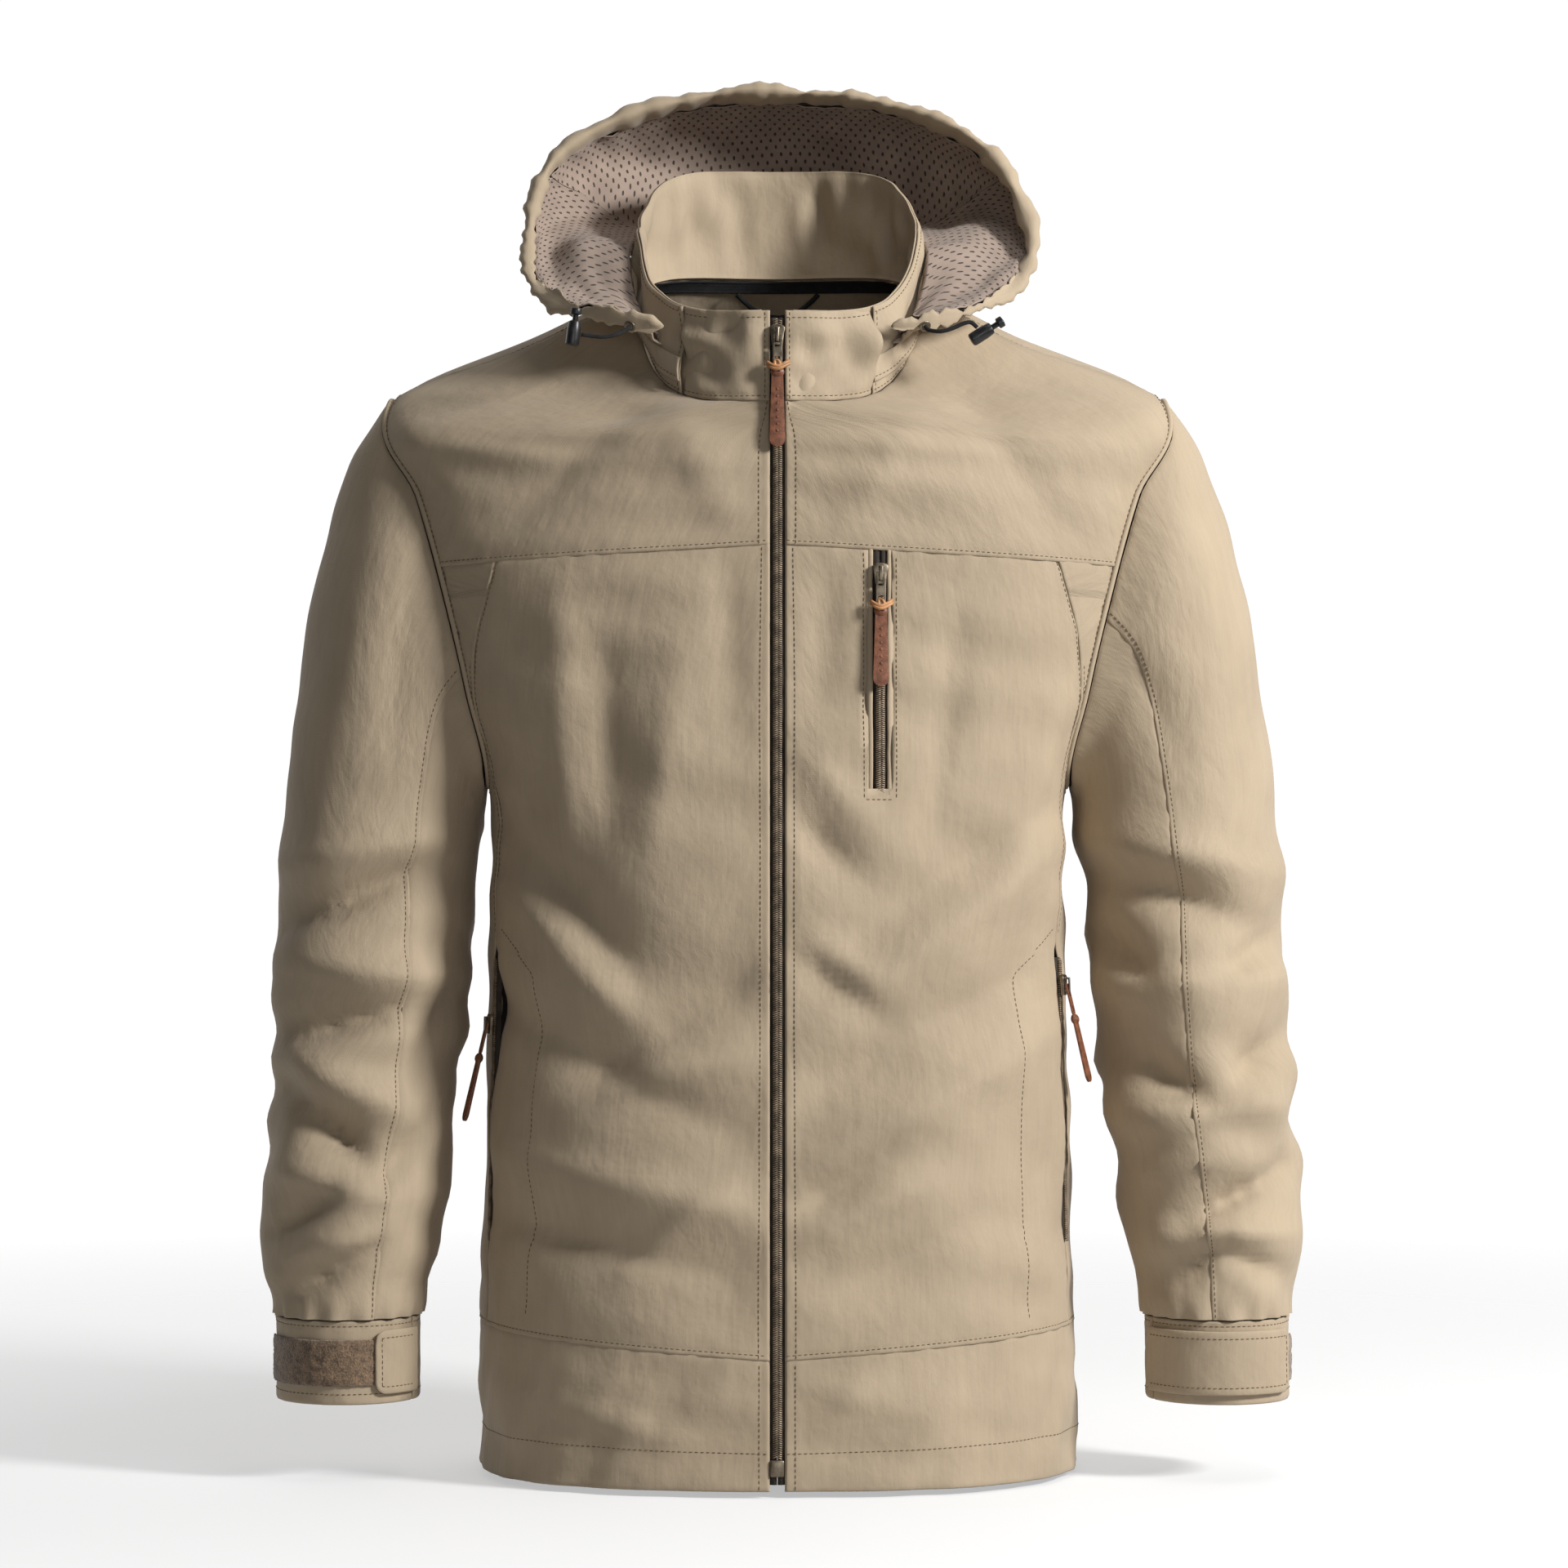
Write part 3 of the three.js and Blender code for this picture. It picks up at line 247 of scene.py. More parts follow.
def woven_finish(name, rgba, pitch=0.0008):
    """Close woven tape or cord."""
    material, start, fill = finish_of(name, Roughness=0.75, Specular_IOR_Level=0.3)
    place = start.node("ShaderNodeTexCoord", 3)
    x, y, z = place.split()
    ribs = (x + z).wave(pitch) * (z - x + y).wave(pitch)
    wear = place.noise(160.0, 3.0)
    fill("Base Color", wear.spread(0.3, 0.7).between(darker(rgba, 0.75), darker(rgba, 1.35)))
    fill("Normal", (ribs * 0.12 + wear * 0.1).bump())
    return material


def metal_finish(name, rgba, rough=0.34):
    material, start, fill = finish_of(name, Metallic=0.95)
    place = start.node("ShaderNodeTexCoord", 3)
    brush = place.noise(700.0, 2.0, (1.0, 1.0, 0.08))
    wear = place.noise(170.0, 3.0)
    fill("Base Color", wear.spread(0.35, 0.65).between(darker(rgba, 0.6), darker(rgba, 1.25)))
    fill("Roughness", (brush * 0.3 + wear * 0.2) + (rough - 0.22))
    fill("Normal", (brush * 0.03).bump())
    return material


def leather_finish(name, rgba):
    material, start, fill = finish_of(name, Specular_IOR_Level=0.45, Coat_Weight=0.12, Coat_Roughness=0.35)
    place = start.node("ShaderNodeTexCoord", 3)
    grain = place.node("ShaderNodeTexVoronoi", 0, {"Vector": place, "Scale": 1500.0})
    creases = place.noise(260.0, 4.0)
    fill("Base Color", creases.spread(0.3, 0.72).between(darker(rgba, 0.55), darker(rgba, 1.3)))
    fill("Roughness", creases * 0.25 + 0.36)
    fill("Normal", (grain * 0.1 + creases * 0.25).bump())
    return material


def plastic_finish(name, rgba):
    material, start, fill = finish_of(name, Specular_IOR_Level=0.5)
    place = start.node("ShaderNodeTexCoord", 3)
    wear = place.noise(220.0, 3.0)
    fill("Base Color", wear.spread(0.4, 0.75).between(rgba, darker(rgba, 2.2)))
    fill("Roughness", wear * 0.2 + 0.24)
    fill("Normal", (place.noise(2400.0, 1.0) * 0.02).bump())
    return material


def pile_finish(name, rgba):
    material, start, fill = finish_of(
        name, Roughness=0.95, Sheen_Weight=0.5, Sheen_Roughness=0.6, Specular_IOR_Level=0.1
    )
    place = start.node("ShaderNodeTexCoord", 3)
    fuzz = place.noise(900.0, 4.0)
    clumps = place.noise(190.0, 3.0)
    fill("Base Color", (fuzz * 0.6 + clumps * 0.5).spread(0.4, 0.72).between(darker(rgba, 0.4), darker(rgba, 1.6)))
    fill("Normal", (fuzz * 0.9).bump())
    return material


FINISHES = {}


def finish(name):
    """The shared finish of that name, made when it is first wanted."""
    if name not in FINISHES:
        makers = {
            "khaki": lambda: cloth_finish("khaki_cloth", tint("khaki")),
            # painted shade: dark cloth for the body's inner faces, standing in for the shade inside the jacket
            "inside": lambda: cloth_finish("painted_shade_inner_cloth", tint("inside"), 0.5, 0.9),
            "lining": lambda: mesh_finish("mesh_lining", tint("lining")),
            "thread": lambda: woven_finish("sewing_thread", tint("thread"), 0.0005),
            "tape": lambda: woven_finish("zip_tape", tint("tape")),
            "black_tape": lambda: woven_finish("black_tape", darker(tint("black"), 1.6)),
            "coil": lambda: metal_finish("zip_coil", tint("coil"), 0.45),
            "metal": lambda: metal_finish("zip_metal", tint("metal")),
            "leather": lambda: leather_finish("strap_leather", tint("leather")),
            "thong": lambda: leather_finish("thong_leather", tint("thong")),
            "pile": lambda: pile_finish("loop_pile", tint("pile")),
            "black": lambda: plastic_finish("black_plastic", tint("black")),
        }
        FINISHES[name] = makers[name]()
    return FINISHES[name]


# ---------------------------------------------------------------- shape sums


def lerp(a, b, t):
    return a + (b - a) * t


def unit(vectors):
    return vectors / np.maximum(np.linalg.norm(vectors, axis=-1, keepdims=True), 1e-12)


def xyz(x, y, z):
    return np.stack(np.broadcast_arrays(x, y, z), -1).astype(float)


def level_out(points):
    """Level directions away from the upright line through the middle."""
    return unit(points * (1, 1, 0))


def through(a, b, c, d, f):
    """Points at f from b to c on a smooth curve that runs from a to d."""
    return b + 0.5 * f * (c - a + f * (2 * a - 5 * b + 4 * c - d + f * (3 * (b - c) + d - a)))


def ripple(u, v, size, seed):
    """Smooth uneven waves of about that length, from -1 to 1."""
    chance = np.random.default_rng(seed)
    total = 0.0
    for _ in range(6):
        turn, phase = chance.uniform(0, math.pi), chance.uniform(0, 2 * math.pi)
        reach = size * chance.uniform(0.75, 1.5)
        total = total + np.sin(2 * math.pi * (u * math.cos(turn) + v * math.sin(turn)) / reach + phase)
    return total / 3.2


def crimp(u, seed, size=0.012):
    """Uneven waves along a line."""
    return ripple(u, 0.0 * u, size, seed) * 0.8


def folds_at(x, z, folds):
    """The summed height of soft ridges and hollows: each is x0, z0, x1, z1, half width and height, in mm."""
    total = np.zeros(np.broadcast(x, z).shape)
    for x0, z0, x1, z1, wide, high in np.array(folds) * MM:
        run = np.array([x1 - x0, z1 - z0])
        t = np.clip(((x - x0) * run[0] + (z - z0) * run[1]) / (run @ run), 0, 1)
        away = np.hypot(x - x0 - t * run[0], z - z0 - t * run[1]) / wide
        total += high * np.exp(-np.hypot(away, 0.16) ** 1.2) * (0.5 + 0.5 * np.sin(math.pi * t))
    return total


# ---------------------------------------------------------------- body surface


def levels():
    """The body's rings: level, front height, back height, half width, back depth and squareness."""
    j = sizes()
    rows = [
        (0, 0, 0, j.hem_half, j.hem_back, 2.5),
        (0.13, 0.13, 0.13, lerp(j.hem_half, j.waist_half, 0.35), j.hem_back, 2.5),
        (0.3, 0.3, 0.3, j.waist_half, lerp(j.hem_back, j.chest_back, 0.4), 2.4),
        (0.42, 0.42, 0.42, j.underarm_half, j.chest_back, 2.4),
    ]
    for share in (0.25, 0.5, 0.75):
        v = lerp(0.42, SHOULDER, share)
        half = lerp(j.underarm_half, j.shoulder_half, math.sin(share * math.pi / 2))
        back = lerp(j.chest_back, j.shoulder_back, share**2)
        rows.append((v, v - 0.003 * share**3, v + 0.004 * share**3, half, back, 2.4))
    rows.append((SHOULDER, 0.632, 0.682, j.shoulder_half, j.shoulder_back, 2.3))
    half, back = lerp(j.shoulder_half, j.neck_half, 0.6), lerp(j.shoulder_back, j.neck_back, 0.4)
    rows.append((lerp(SHOULDER, NECK, 0.55), 0.646, 0.721, half, back, 2.1))
    rows.append((NECK, NECK_FRONT, 0.745, j.neck_half, j.neck_back, 2.0))
    return np.array(rows)


def level_value(column, v):
    rows = levels()
    at, value = rows[:, 0], rows[:, column]
    i = np.clip(np.searchsorted(at, v, side="left") - 1, 0, len(at) - 2)
    k = np.arange(len(at))
    low, high = np.maximum(k - 1, 0), np.minimum(k + 1, len(at) - 1)
    slope = (value[high] - value[low]) / (at[high] - at[low])
    span = at[i + 1] - at[i]
    t = np.clip((v - at[i]) / span, 0, 1)
    bend = span * (t * (1 - t) ** 2 * slope[i] - t * t * (1 - t) * slope[i + 1])
    return lerp(value[i], value[i + 1], t * t * (3 - 2 * t)) + bend


def front_depth(height):
    return lerp(sizes().hem_front, sizes().neck_front, height / NECK_FRONT)


def ring_point(angle, side, front, back, half, rear, ahead, power):
    c, s = np.cos(angle), np.sin(angle)
    x = half * np.sign(c) * np.abs(c) ** (2 / power)
    y = np.where(s < 0, ahead, rear) * np.sign(s) * np.abs(s) ** (2 / power)
    soft = 0.12
    eased = (np.hypot(s, soft) - soft) / (np.hypot(1, soft) - soft)
    z = lerp(side, np.where(s < 0, front, back), 1 - (1 - eased) ** 2)
    return xyz(x, y, z)


def body_point(angle, v):
    angle, v = np.broadcast_arrays(np.asarray(angle, float), np.asarray(v, float))
    front = level_value(1, v)
    back, half, rear, power = (level_value(column, v) for column in (2, 3, 4, 5))
    return ring_point(angle, v, front, back, half, rear, front_depth(front), power)


def body_normal(angle, v, turn=0.01, rise=0.002):
    """Outward directions of the body, from points a little beside each place."""
    across = body_point(angle + turn, v) - body_point(angle - turn, v)
    return unit(np.cross(across, body_point(angle, v + rise) - body_point(angle, v - rise)))


def front_angle(x, v):
    """Angle on the wearer's left front where the ring at v reaches x."""
    return -np.arccos(np.clip(x / level_value(3, v), 0, 1) ** (level_value(5, v) / 2))


def angle_for(distance, angle, v):
    return distance * 0.01 / np.linalg.norm(body_point(angle, v) - body_point(angle + 0.01, v), axis=-1)


def hem_seam(angle):
    return 0.077 + 0.013 * np.abs(np.cos(angle)) ** 0.8


def yoke_seam(angle):
    return 0.566 - 0.012 * np.abs(np.cos(angle)) ** 0.8


def princess(v):
    t = np.clip((v - 0.41) / 0.156, 0, 1)
    return DEGREE * lerp(-16.0, -46.0, t * t * (2 - t))


def armhole_half(ahead):
    """Half the armhole's width as an angle: less on its front half, where ahead is below 0."""
    return np.where(ahead < 0, 26.0, 28.0) * DEGREE


def armhole_reach(angle, v):
    """How far out of the armhole a place is: 1 on its edge, less inside."""
    return np.hypot(angle / (DEGREE * 27), (v - ARM_LEVEL) / ARM_TALL)


# ---------------------------------------------------------------- settling cloth


class Drape:
    """How far cloth has moved from its pattern, kept over a regular grid of its two ways."""

    def __init__(self, shift, low, high, loop):
        self.shift, self.low, self.high, self.loop = shift, np.array(low), np.array(high), loop

    def at(self, a, b):
        """Smooth value between the grid's points."""
        count = np.array(self.shift.shape[:2])
        place = (np.stack(np.broadcast_arrays(a, b), -1) - self.low) / (self.high - self.low) * (count - 1)
        base = np.floor(place).astype(int)
        part = place - base
        total = 0.0
        for i in range(-1, 3):
            for k in range(-1, 3):
                row, column = base[..., 0] + i, base[..., 1] + k
                row = row % (count[0] - 1) if self.loop else np.clip(row, 0, count[0] - 1)
                column = np.clip(column, 0, count[1] - 1)
                weight = self.weight(i, part[..., 0]) * self.weight(k, part[..., 1])
                total = total + self.shift[row, column] * weight[..., None]
        return total

    @staticmethod
    def weight(k, t):
        return {
            -1: -0.5 * t + t * t - 0.5 * t**3,
            0: 1 - 2.5 * t * t + 1.5 * t**3,
            1: 0.5 * t + 2 * t * t - 1.5 * t**3,
            2: -0.5 * t * t + 0.5 * t**3,
        }[k]


def grid_bmesh(points, loop=False):
    """A sheet of four-sided cells through an array of points, with each corner's number kept on it."""
    columns, rows = points.shape[:2]
    bm = bmesh.new()
    bmesh.ops.create_grid(bm, x_segments=columns - 1, y_segments=rows - 1, size=0.5)
    number = bm.verts.layers.int.new("number")
    flat = points.reshape(-1, 3)
    for vert in bm.verts:
        i, k = round((vert.co.x + 0.5) * (columns - 1)), round((vert.co.y + 0.5) * (rows - 1))
        vert[number] = i * rows + k
    for vert in bm.verts:
        vert.co = flat[vert[number]]
    if loop:
        bmesh.ops.remove_doubles(bm, verts=bm.verts, dist=1e-6)
    return bm, number


def smooth(bm):
    for face in bm.faces:
        face.smooth = True


def lay_uv(bm, number, uv):
    """Lays each corner of a sheet at its place on the flat cloth, and smooths the sheet."""
    smooth(bm)
    layer, flat = bm.loops.layers.uv.new("UVMap"), uv.reshape(-1, 2)
    for face in bm.faces:
        for loop in face.loops:
            loop[layer].uv = flat[loop.vert[number]]


SETTLE_FRAMES = 26


def settle(start, rest, hold, loop, bending=0.4):
    """Cloth simulation: start relaxes towards the lengths of rest, held where hold is near 1."""
    bm, number = grid_bmesh(start, loop)
    mesh = bpy.data.meshes.new("settling")
    order = [vert[number] for vert in bm.verts]
    bm.to_mesh(mesh)
    bm.free()
    cloth = bpy.data.objects.new("settling", mesh)
    bpy.context.scene.collection.objects.link(cloth)
    cloth.shape_key_add(name="Basis")
    key = cloth.shape_key_add(name="rest")
    key.data.foreach_set("co", rest.reshape(-1, 3)[order].ravel())
    key.value = 0.0
    group = cloth.vertex_groups.new(name="hold")
    held = np.clip(hold.reshape(-1)[order], 0, 1)
    for index, weight in enumerate(held):
        group.add([index], float(weight), "REPLACE")
    modifier = cloth.modifiers.new("cloth", "CLOTH")
    settings = modifier.settings
    settings.quality = 6
    settings.mass = 0.25
    settings.tension_stiffness = settings.compression_stiffness = 18.0
    settings.shear_stiffness = 6.0
    settings.bending_stiffness = bending
    settings.air_damping = 3.0
    settings.effector_weights.gravity = 0.25
    settings.vertex_group_mass = "hold"
    settings.rest_shape_key = key
    modifier.collision_settings.use_collision = False
    modifier.collision_settings.use_self_collision = False
    modifier.point_cache.frame_start, modifier.point_cache.frame_end = 1, SETTLE_FRAMES
    for step in range(1, SETTLE_FRAMES + 1):
        bpy.context.scene.frame_set(step)
    done = cloth.evaluated_get(bpy.context.evaluated_depsgraph_get()).data
    place = np.zeros(len(order) * 3)
    done.vertices.foreach_get("co", place)
    settled = start.reshape(-1, 3).copy()
    settled[order] = place.reshape(-1, 3)
    settled = settled.reshape(start.shape)
    if loop:
        settled[-1] = settled[0]
    bpy.data.objects.remove(cloth)
    bpy.context.scene.frame_set(1)
    return settled


def grid_normals(points):
    """Outward directions of a sheet whose rows run anticlockwise and up."""
    along = np.gradient(points, axis=0)
    up = np.gradient(points, axis=1)
    return unit(np.cross(along, up))


def drape_of(base, settled, low, high, loop, most, out_most):
    shift = settled - base
    normal = grid_normals(base)
    if loop:
        normal[0] = normal[-1] = unit(normal[0] + normal[-1])
    out = (shift * normal).sum(-1, keepdims=True)
    shift = shift + normal * (np.clip(out, -most, out_most) - out)
    size = np.linalg.norm(shift, axis=-1, keepdims=True)
    shift *= np.minimum(1, most / np.maximum(size, 1e-9))
    return Drape(shift, low, high, loop)


FRONT_FOLDS = [
    (164, 382, 37, 283, 20, 4.5), (160, 405, 56, 335, 17, -5), (150, 306, 9, 231, 20, -5),
    (164, 269, 28, 194, 18, 4.5), (65, 198, 9, 165, 9, -4.5), (84, 180, 9, 147, 11, 3.5),
    (4, 405, 47, 368, 9, -4), (9, 443, 56, 396, 11, 3), (9, 335, 60, 300, 9, 3), (12, 318, 64, 280, 8, -3),
    (169, 462, 131, 349, 18, 4.5), (120, 160, 40, 118, 12, -3), (-165, 396, -85, 302, 16, -5),
    (-165, 358, -76, 269, 16, 4.5), (-19, 302, -108, 250, 12, -4), (-19, 259, -123, 231, 14, 4.5),
    (-170, 283, -19, 208, 17, -4.5), (-160, 198, -19, 165, 16, 4), (-165, 156, -38, 128, 12, -4),
    (-132, 542, -127, 377, 18, 3), (-108, 509, -99, 401, 14, -3), (-60, 500, -75, 380, 15, 2.5),
    (-30, 180, -90, 130, 10, 3), (110, 520, 95, 400, 15, -3), (80, 636, 37, 570, 18, 2.5),
    (103, 678, 169, 584, 18, -3), (-94, 645, -165, 579, 18, -3), (-60, 640, -25, 575, 16, 2.5),
    (20, 60, 100, 40, 10, 2), (-150, 55, -60, 30, 10, 2), (-30, 560, -25, 460, 10, -2),
    (30, 545, 22, 470, 9, -2),
]
BACK_FOLDS = [
    (-130, 560, -70, 330, 22, 5), (130, 560, 80, 320, 22, 5), (-155, 305, 150, 268, 20, -5),
    (-140, 240, 120, 215, 18, 5), (150, 190, -100, 150, 18, -4), (0, 620, 10, 430, 24, -3.5),
    (-100, 520, -40, 300, 18, -4), (100, 510, 45, 300, 18, -4), (160, 400, 60, 330, 16, 4.5),
    (-160, 400, -60, 340, 16, 4.5), (-90, 660, -170, 590, 18, -3), (90, 660, 170, 590, 18, -3),
    (-120, 140, 60, 110, 14, 3.5), (-40, 200, 130, 240, 12, -3),
]


def body_drape():
    columns, rows = 141, 96
    angle = np.linspace(-math.pi / 2, 1.5 * math.pi, columns)[:, None]
    v = np.linspace(0, NECK, rows)[None, :]
    base = body_point(angle, v)
    normal = grid_normals(base)
    x, z = base[..., 0], base[..., 2]
    ahead = np.clip(-np.sin(angle) * 3, 0, 1)
    behind = np.clip(np.sin(angle) * 3, 0, 1)
    reach = np.minimum(armhole_reach(angle, v), armhole_reach(angle - math.pi, v))
    edge = np.clip((reach - 1) / 0.35, 0, 1)
    edge = edge * np.clip(np.abs(x) / 0.018 - 0.25, 0, 1) ** np.where(ahead > 0, 1, 0)
    edge = edge * np.clip((NECK - v) / 0.035, 0, 1) * np.clip(np.abs(v - hem_seam(angle)) / 0.018, 0.25, 1)
    edge = edge * np.clip(v / 0.02, 0.35, 1) * np.clip(np.abs(v - yoke_seam(angle)) / 0.016, 0.2, 1)
    high = 2.3 * (folds_at(x, z, FRONT_FOLDS) * ahead + folds_at(x, z, BACK_FOLDS) * behind)
    high = high + 0.0018 * ripple(angle * 0.15, v, 0.11, 5) + 0.001 * ripple(angle * 0.15, v, 0.045, 8)
    low_hem = np.clip((0.1 - v) / 0.04, 0, 1) * np.clip(np.abs(x) / 0.015 - 0.4, 0, 1)
    high = high * edge + 0.0011 * ripple(angle * 0.15, v, 0.03, 9) * low_hem
    start = base + normal * high[..., None]
    rest = base.copy()
    rest[..., :2] *= 1.022
    rest[..., 2] *= 1.026
    hold = np.clip(0.5 + 0.5 * (1 - edge), 0, 1)
    settled = settle(start, rest, hold, False)
    return drape_of(base, settled, (-math.pi / 2, 0), (1.5 * math.pi, NECK), False, 0.016, 0.0125)


DRAPES = {}


def drape(name):
    if name not in DRAPES:
        DRAPES[name] = body_drape() if name == "body" else sleeve_drape(name)
    return DRAPES[name]


def body_skin(angle, v):
    return body_point(angle, v) + drape("body").at(angle, v)


# ---------------------------------------------------------------- sleeves

RINGS = np.array([
    (517, 223.5, 41, 4, 62, 107), (484, 234.5, 50, 5, 64, 85), (444, 241.5, 55.5, 6, 65, 60),
    (400, 247.5, 58.5, 6, 65, 38), (352, 252.5, 60, 4, 64, 20), (300, 254.5, 59.5, -2, 62, 8),
    (248, 257, 58.5, -9, 60, 0), (190, 262.5, 58, -20, 58, -2), (140, 266, 54.5, -30, 55, -3),
    (96, 267, 45.5, -38, 47.5, 0),
]) * MM
LEAN = {LEFT: 0.004, RIGHT: -0.003}
FRONT_SEAM = {LEFT: 188.0, RIGHT: 205.0}
BACK_SEAM = -35.0
CUFF_TOP, CUFF_LOW = 0.0954, 0.0444
SLEEVE_FOLDS = {
    RIGHT: [
        (52, 335, -31, 370, 10, -8), (52, 372, -33, 388, 14, 6), (38, 271, -21, 283, 9, -8),
        (52, 311, -38, 302, 14, 6), (47, 236, -9, 194, 9, -9), (42, 255, -42, 212, 12, 6),
        (9, 172, 49, 149, 8, -8), (42, 184, -23, 170, 10, 6), (-23, 180, -45, 217, 8, -6),
        (42, 111, -23, 140, 8, -6), (38, 135, -33, 151, 9, 5), (10, 560, -5, 440, 16, -3),
        (-35, 250, -50, 290, 9, -5),
    ],
    LEFT: [
        (-49, 363, 45, 335, 13, -7), (-45, 386, 49, 366, 14, 5), (-59, 330, -26, 302, 9, -7),
        (59, 330, 12, 302, 10, -6), (-49, 297, 59, 306, 14, 6), (-45, 255, -2, 231, 8, -7),
        (52, 264, 19, 241, 9, -6), (-45, 217, 52, 226, 12, 6), (49, 187, -21, 156, 8, -9),
        (-40, 184, 10, 194, 10, 5), (-45, 118, 2, 142, 7, -6), (45, 123, 7, 135, 7, -6),
        (-35, 147, 47, 149, 9, 5), (-20, 540, 0, 440, 16, -3),
    ],
}


def armhole_point(turn):
    return body_point(armhole_half(np.cos(turn)) * np.cos(turn), ARM_LEVEL + ARM_TALL * np.sin(turn))


def arm_axis():
    shoulder, under = armhole_point(np.array(math.pi / 2)), armhole_point(np.array(1.5 * math.pi))
    return unit(np.array([shoulder[2] - under[2], 0, under[0] - shoulder[0]]))


def sleeve_ring(index, turn, side):
    """Points of numbered rings, 0 at the armhole and the last at the cuff, for each turn."""
    ring = RINGS[np.clip(index - 1, 0, len(RINGS) - 1)]
    lean = LEAN[side] * (1 - ring[..., 0] / SHOULDER)
    across, ahead = np.sin(turn), np.cos(turn)
    out, rise = ring[..., 1] + lean + ring[..., 2] * across, ring[..., 0] + ring[..., 5] * across
    point = xyz(out, ring[..., 3] + ring[..., 4] * ahead, rise)
    top = armhole_point(turn) + arm_axis() * 0.0022
    return np.where((index <= 0)[..., None], top, point)


def sleeve_point(turn, t, side):
    """Smooth point along the wearer's left sleeve, t from 0 at the cuff to 1 at the armhole."""
    turn, t = np.broadcast_arrays(np.asarray(turn, float), np.asarray(t, float))
    last = len(RINGS)
    place = (1 - t) * last
    i = np.minimum(np.floor(place).astype(int), last - 1)
    f = (place - i)[..., None]
    return through(*(sleeve_ring(np.clip(i + k, 0, last), turn, side) for k in (-1, 0, 1, 2)), f)


def sleeve_drape(side):
    columns, rows = 73, 76
    turn = np.linspace(0, 2 * math.pi, columns)[:, None]
    t = np.linspace(0, 1, rows)[None, :]
    base = sleeve_point(turn, t, side)[::-1]
    turn = turn[::-1]
    normal = grid_normals(base)
    normal[0] = normal[-1] = unit(normal[0] + normal[-1])
    z = base[..., 2]
    out = np.sin(turn) * 0.058 + 0.0 * z
    ahead = np.clip(-np.cos(turn) * 2.5, 0, 1)
    behind = np.clip(np.cos(turn) * 2.5, 0, 1)
    high = folds_at(out, z, SLEEVE_FOLDS[side]) * ahead
    high = high + folds_at(-out, z - 0.022, SLEEVE_FOLDS[side]) * behind
    seed = 11 if side == LEFT else 17
    high = 2.1 * high + 0.0016 * ripple(np.sin(turn) * 0.06 + np.cos(turn) * 0.04, z, 0.07, seed)
    crinkle = ripple(np.sin(turn) * 0.03 + np.cos(turn) * 0.02, z, 0.034, seed + 1)
    high = high + 0.003 * crinkle * np.clip((0.45 - z) / 0.2, 0.15, 1)
    edge = np.clip((1 - t) / 0.1, 0, 1) * np.clip(t / 0.06, 0, 1)
    low_arm = np.clip((0.42 - z) / 0.1, 0, 1)
    start = base + normal * (high * edge)[..., None]
    spare = np.where(edge + 0 * z > 0, 0.02 + 0.075 * low_arm, 0.0)
    slack = np.cumsum(spare * np.abs(np.gradient(z, axis=1)), axis=1)
    rest = base.copy()
    rest[..., 2] += slack
    rest[..., :2] = lerp(base.mean(axis=0, keepdims=True)[..., :2], base[..., :2], 1.012)
    hold = np.clip(0.48 + 0.52 * (1 - edge) + 0 * z, 0, 1)
    for seam in (FRONT_SEAM[side], BACK_SEAM % 360):
        near = np.exp(-(((turn / DEGREE - seam + 180) % 360 - 180) / 7) ** 2)
        hold = np.maximum(hold, 0.5 * near)
    settled = settle(start, rest, hold, True, 0.3)
    return drape_of(base, settled, (2 * math.pi, 0), (0, 1), True, 0.02, 0.0135)


def sleeve_skin(side):
    def skin(turn, t):
        point = sleeve_point(turn, t, side) + drape(side).at(turn % (2 * math.pi), t)
        pleats = 0.0016 * np.clip((0.045 - t) / 0.045, 0, 1) * np.sin(turn * 17 + np.sin(turn * 3))
        return point + xyz(np.sin(turn), np.cos(turn), 0) * pleats[..., None]

    return skin


# ---------------------------------------------------------------- panels


BESIDE_SEAM = np.array([0, 0.8, 1.7, 3.2, 4.6, 6.4]) * MM


def stations(span, cell):
    """Where a panel's lines lie along a side: closer together beside its seams."""
    near, last = BESIDE_SEAM[:-1], BESIDE_SEAM[-1]
    inner = np.linspace(last, span - last, max(3, int(round((span - last - last) / cell)) + 1))
    return np.concatenate([near, inner, span - near[::-1]]) / span


def dip(distance, middle, half):
    """A soft dip of depth 1 round a distance from an edge."""
    return np.exp(-(((distance - middle) / half) ** 2))


EDGES = {
    "over": lambda d: 0.0005 * np.exp(-d / 0.005) - 0.0009 * dip(d, 0, 0.0008) - 0.0004 * dip(d, SEAM_ROW, 0.0011),
    "under": lambda d: -0.0005 * dip(d, 0, 0.0014) - 0.0002 * np.exp(-d / 0.005),
    "free": lambda d: -0.0006 * dip(d, 0, 0.001),
    "none": lambda d: 0 * d,
}


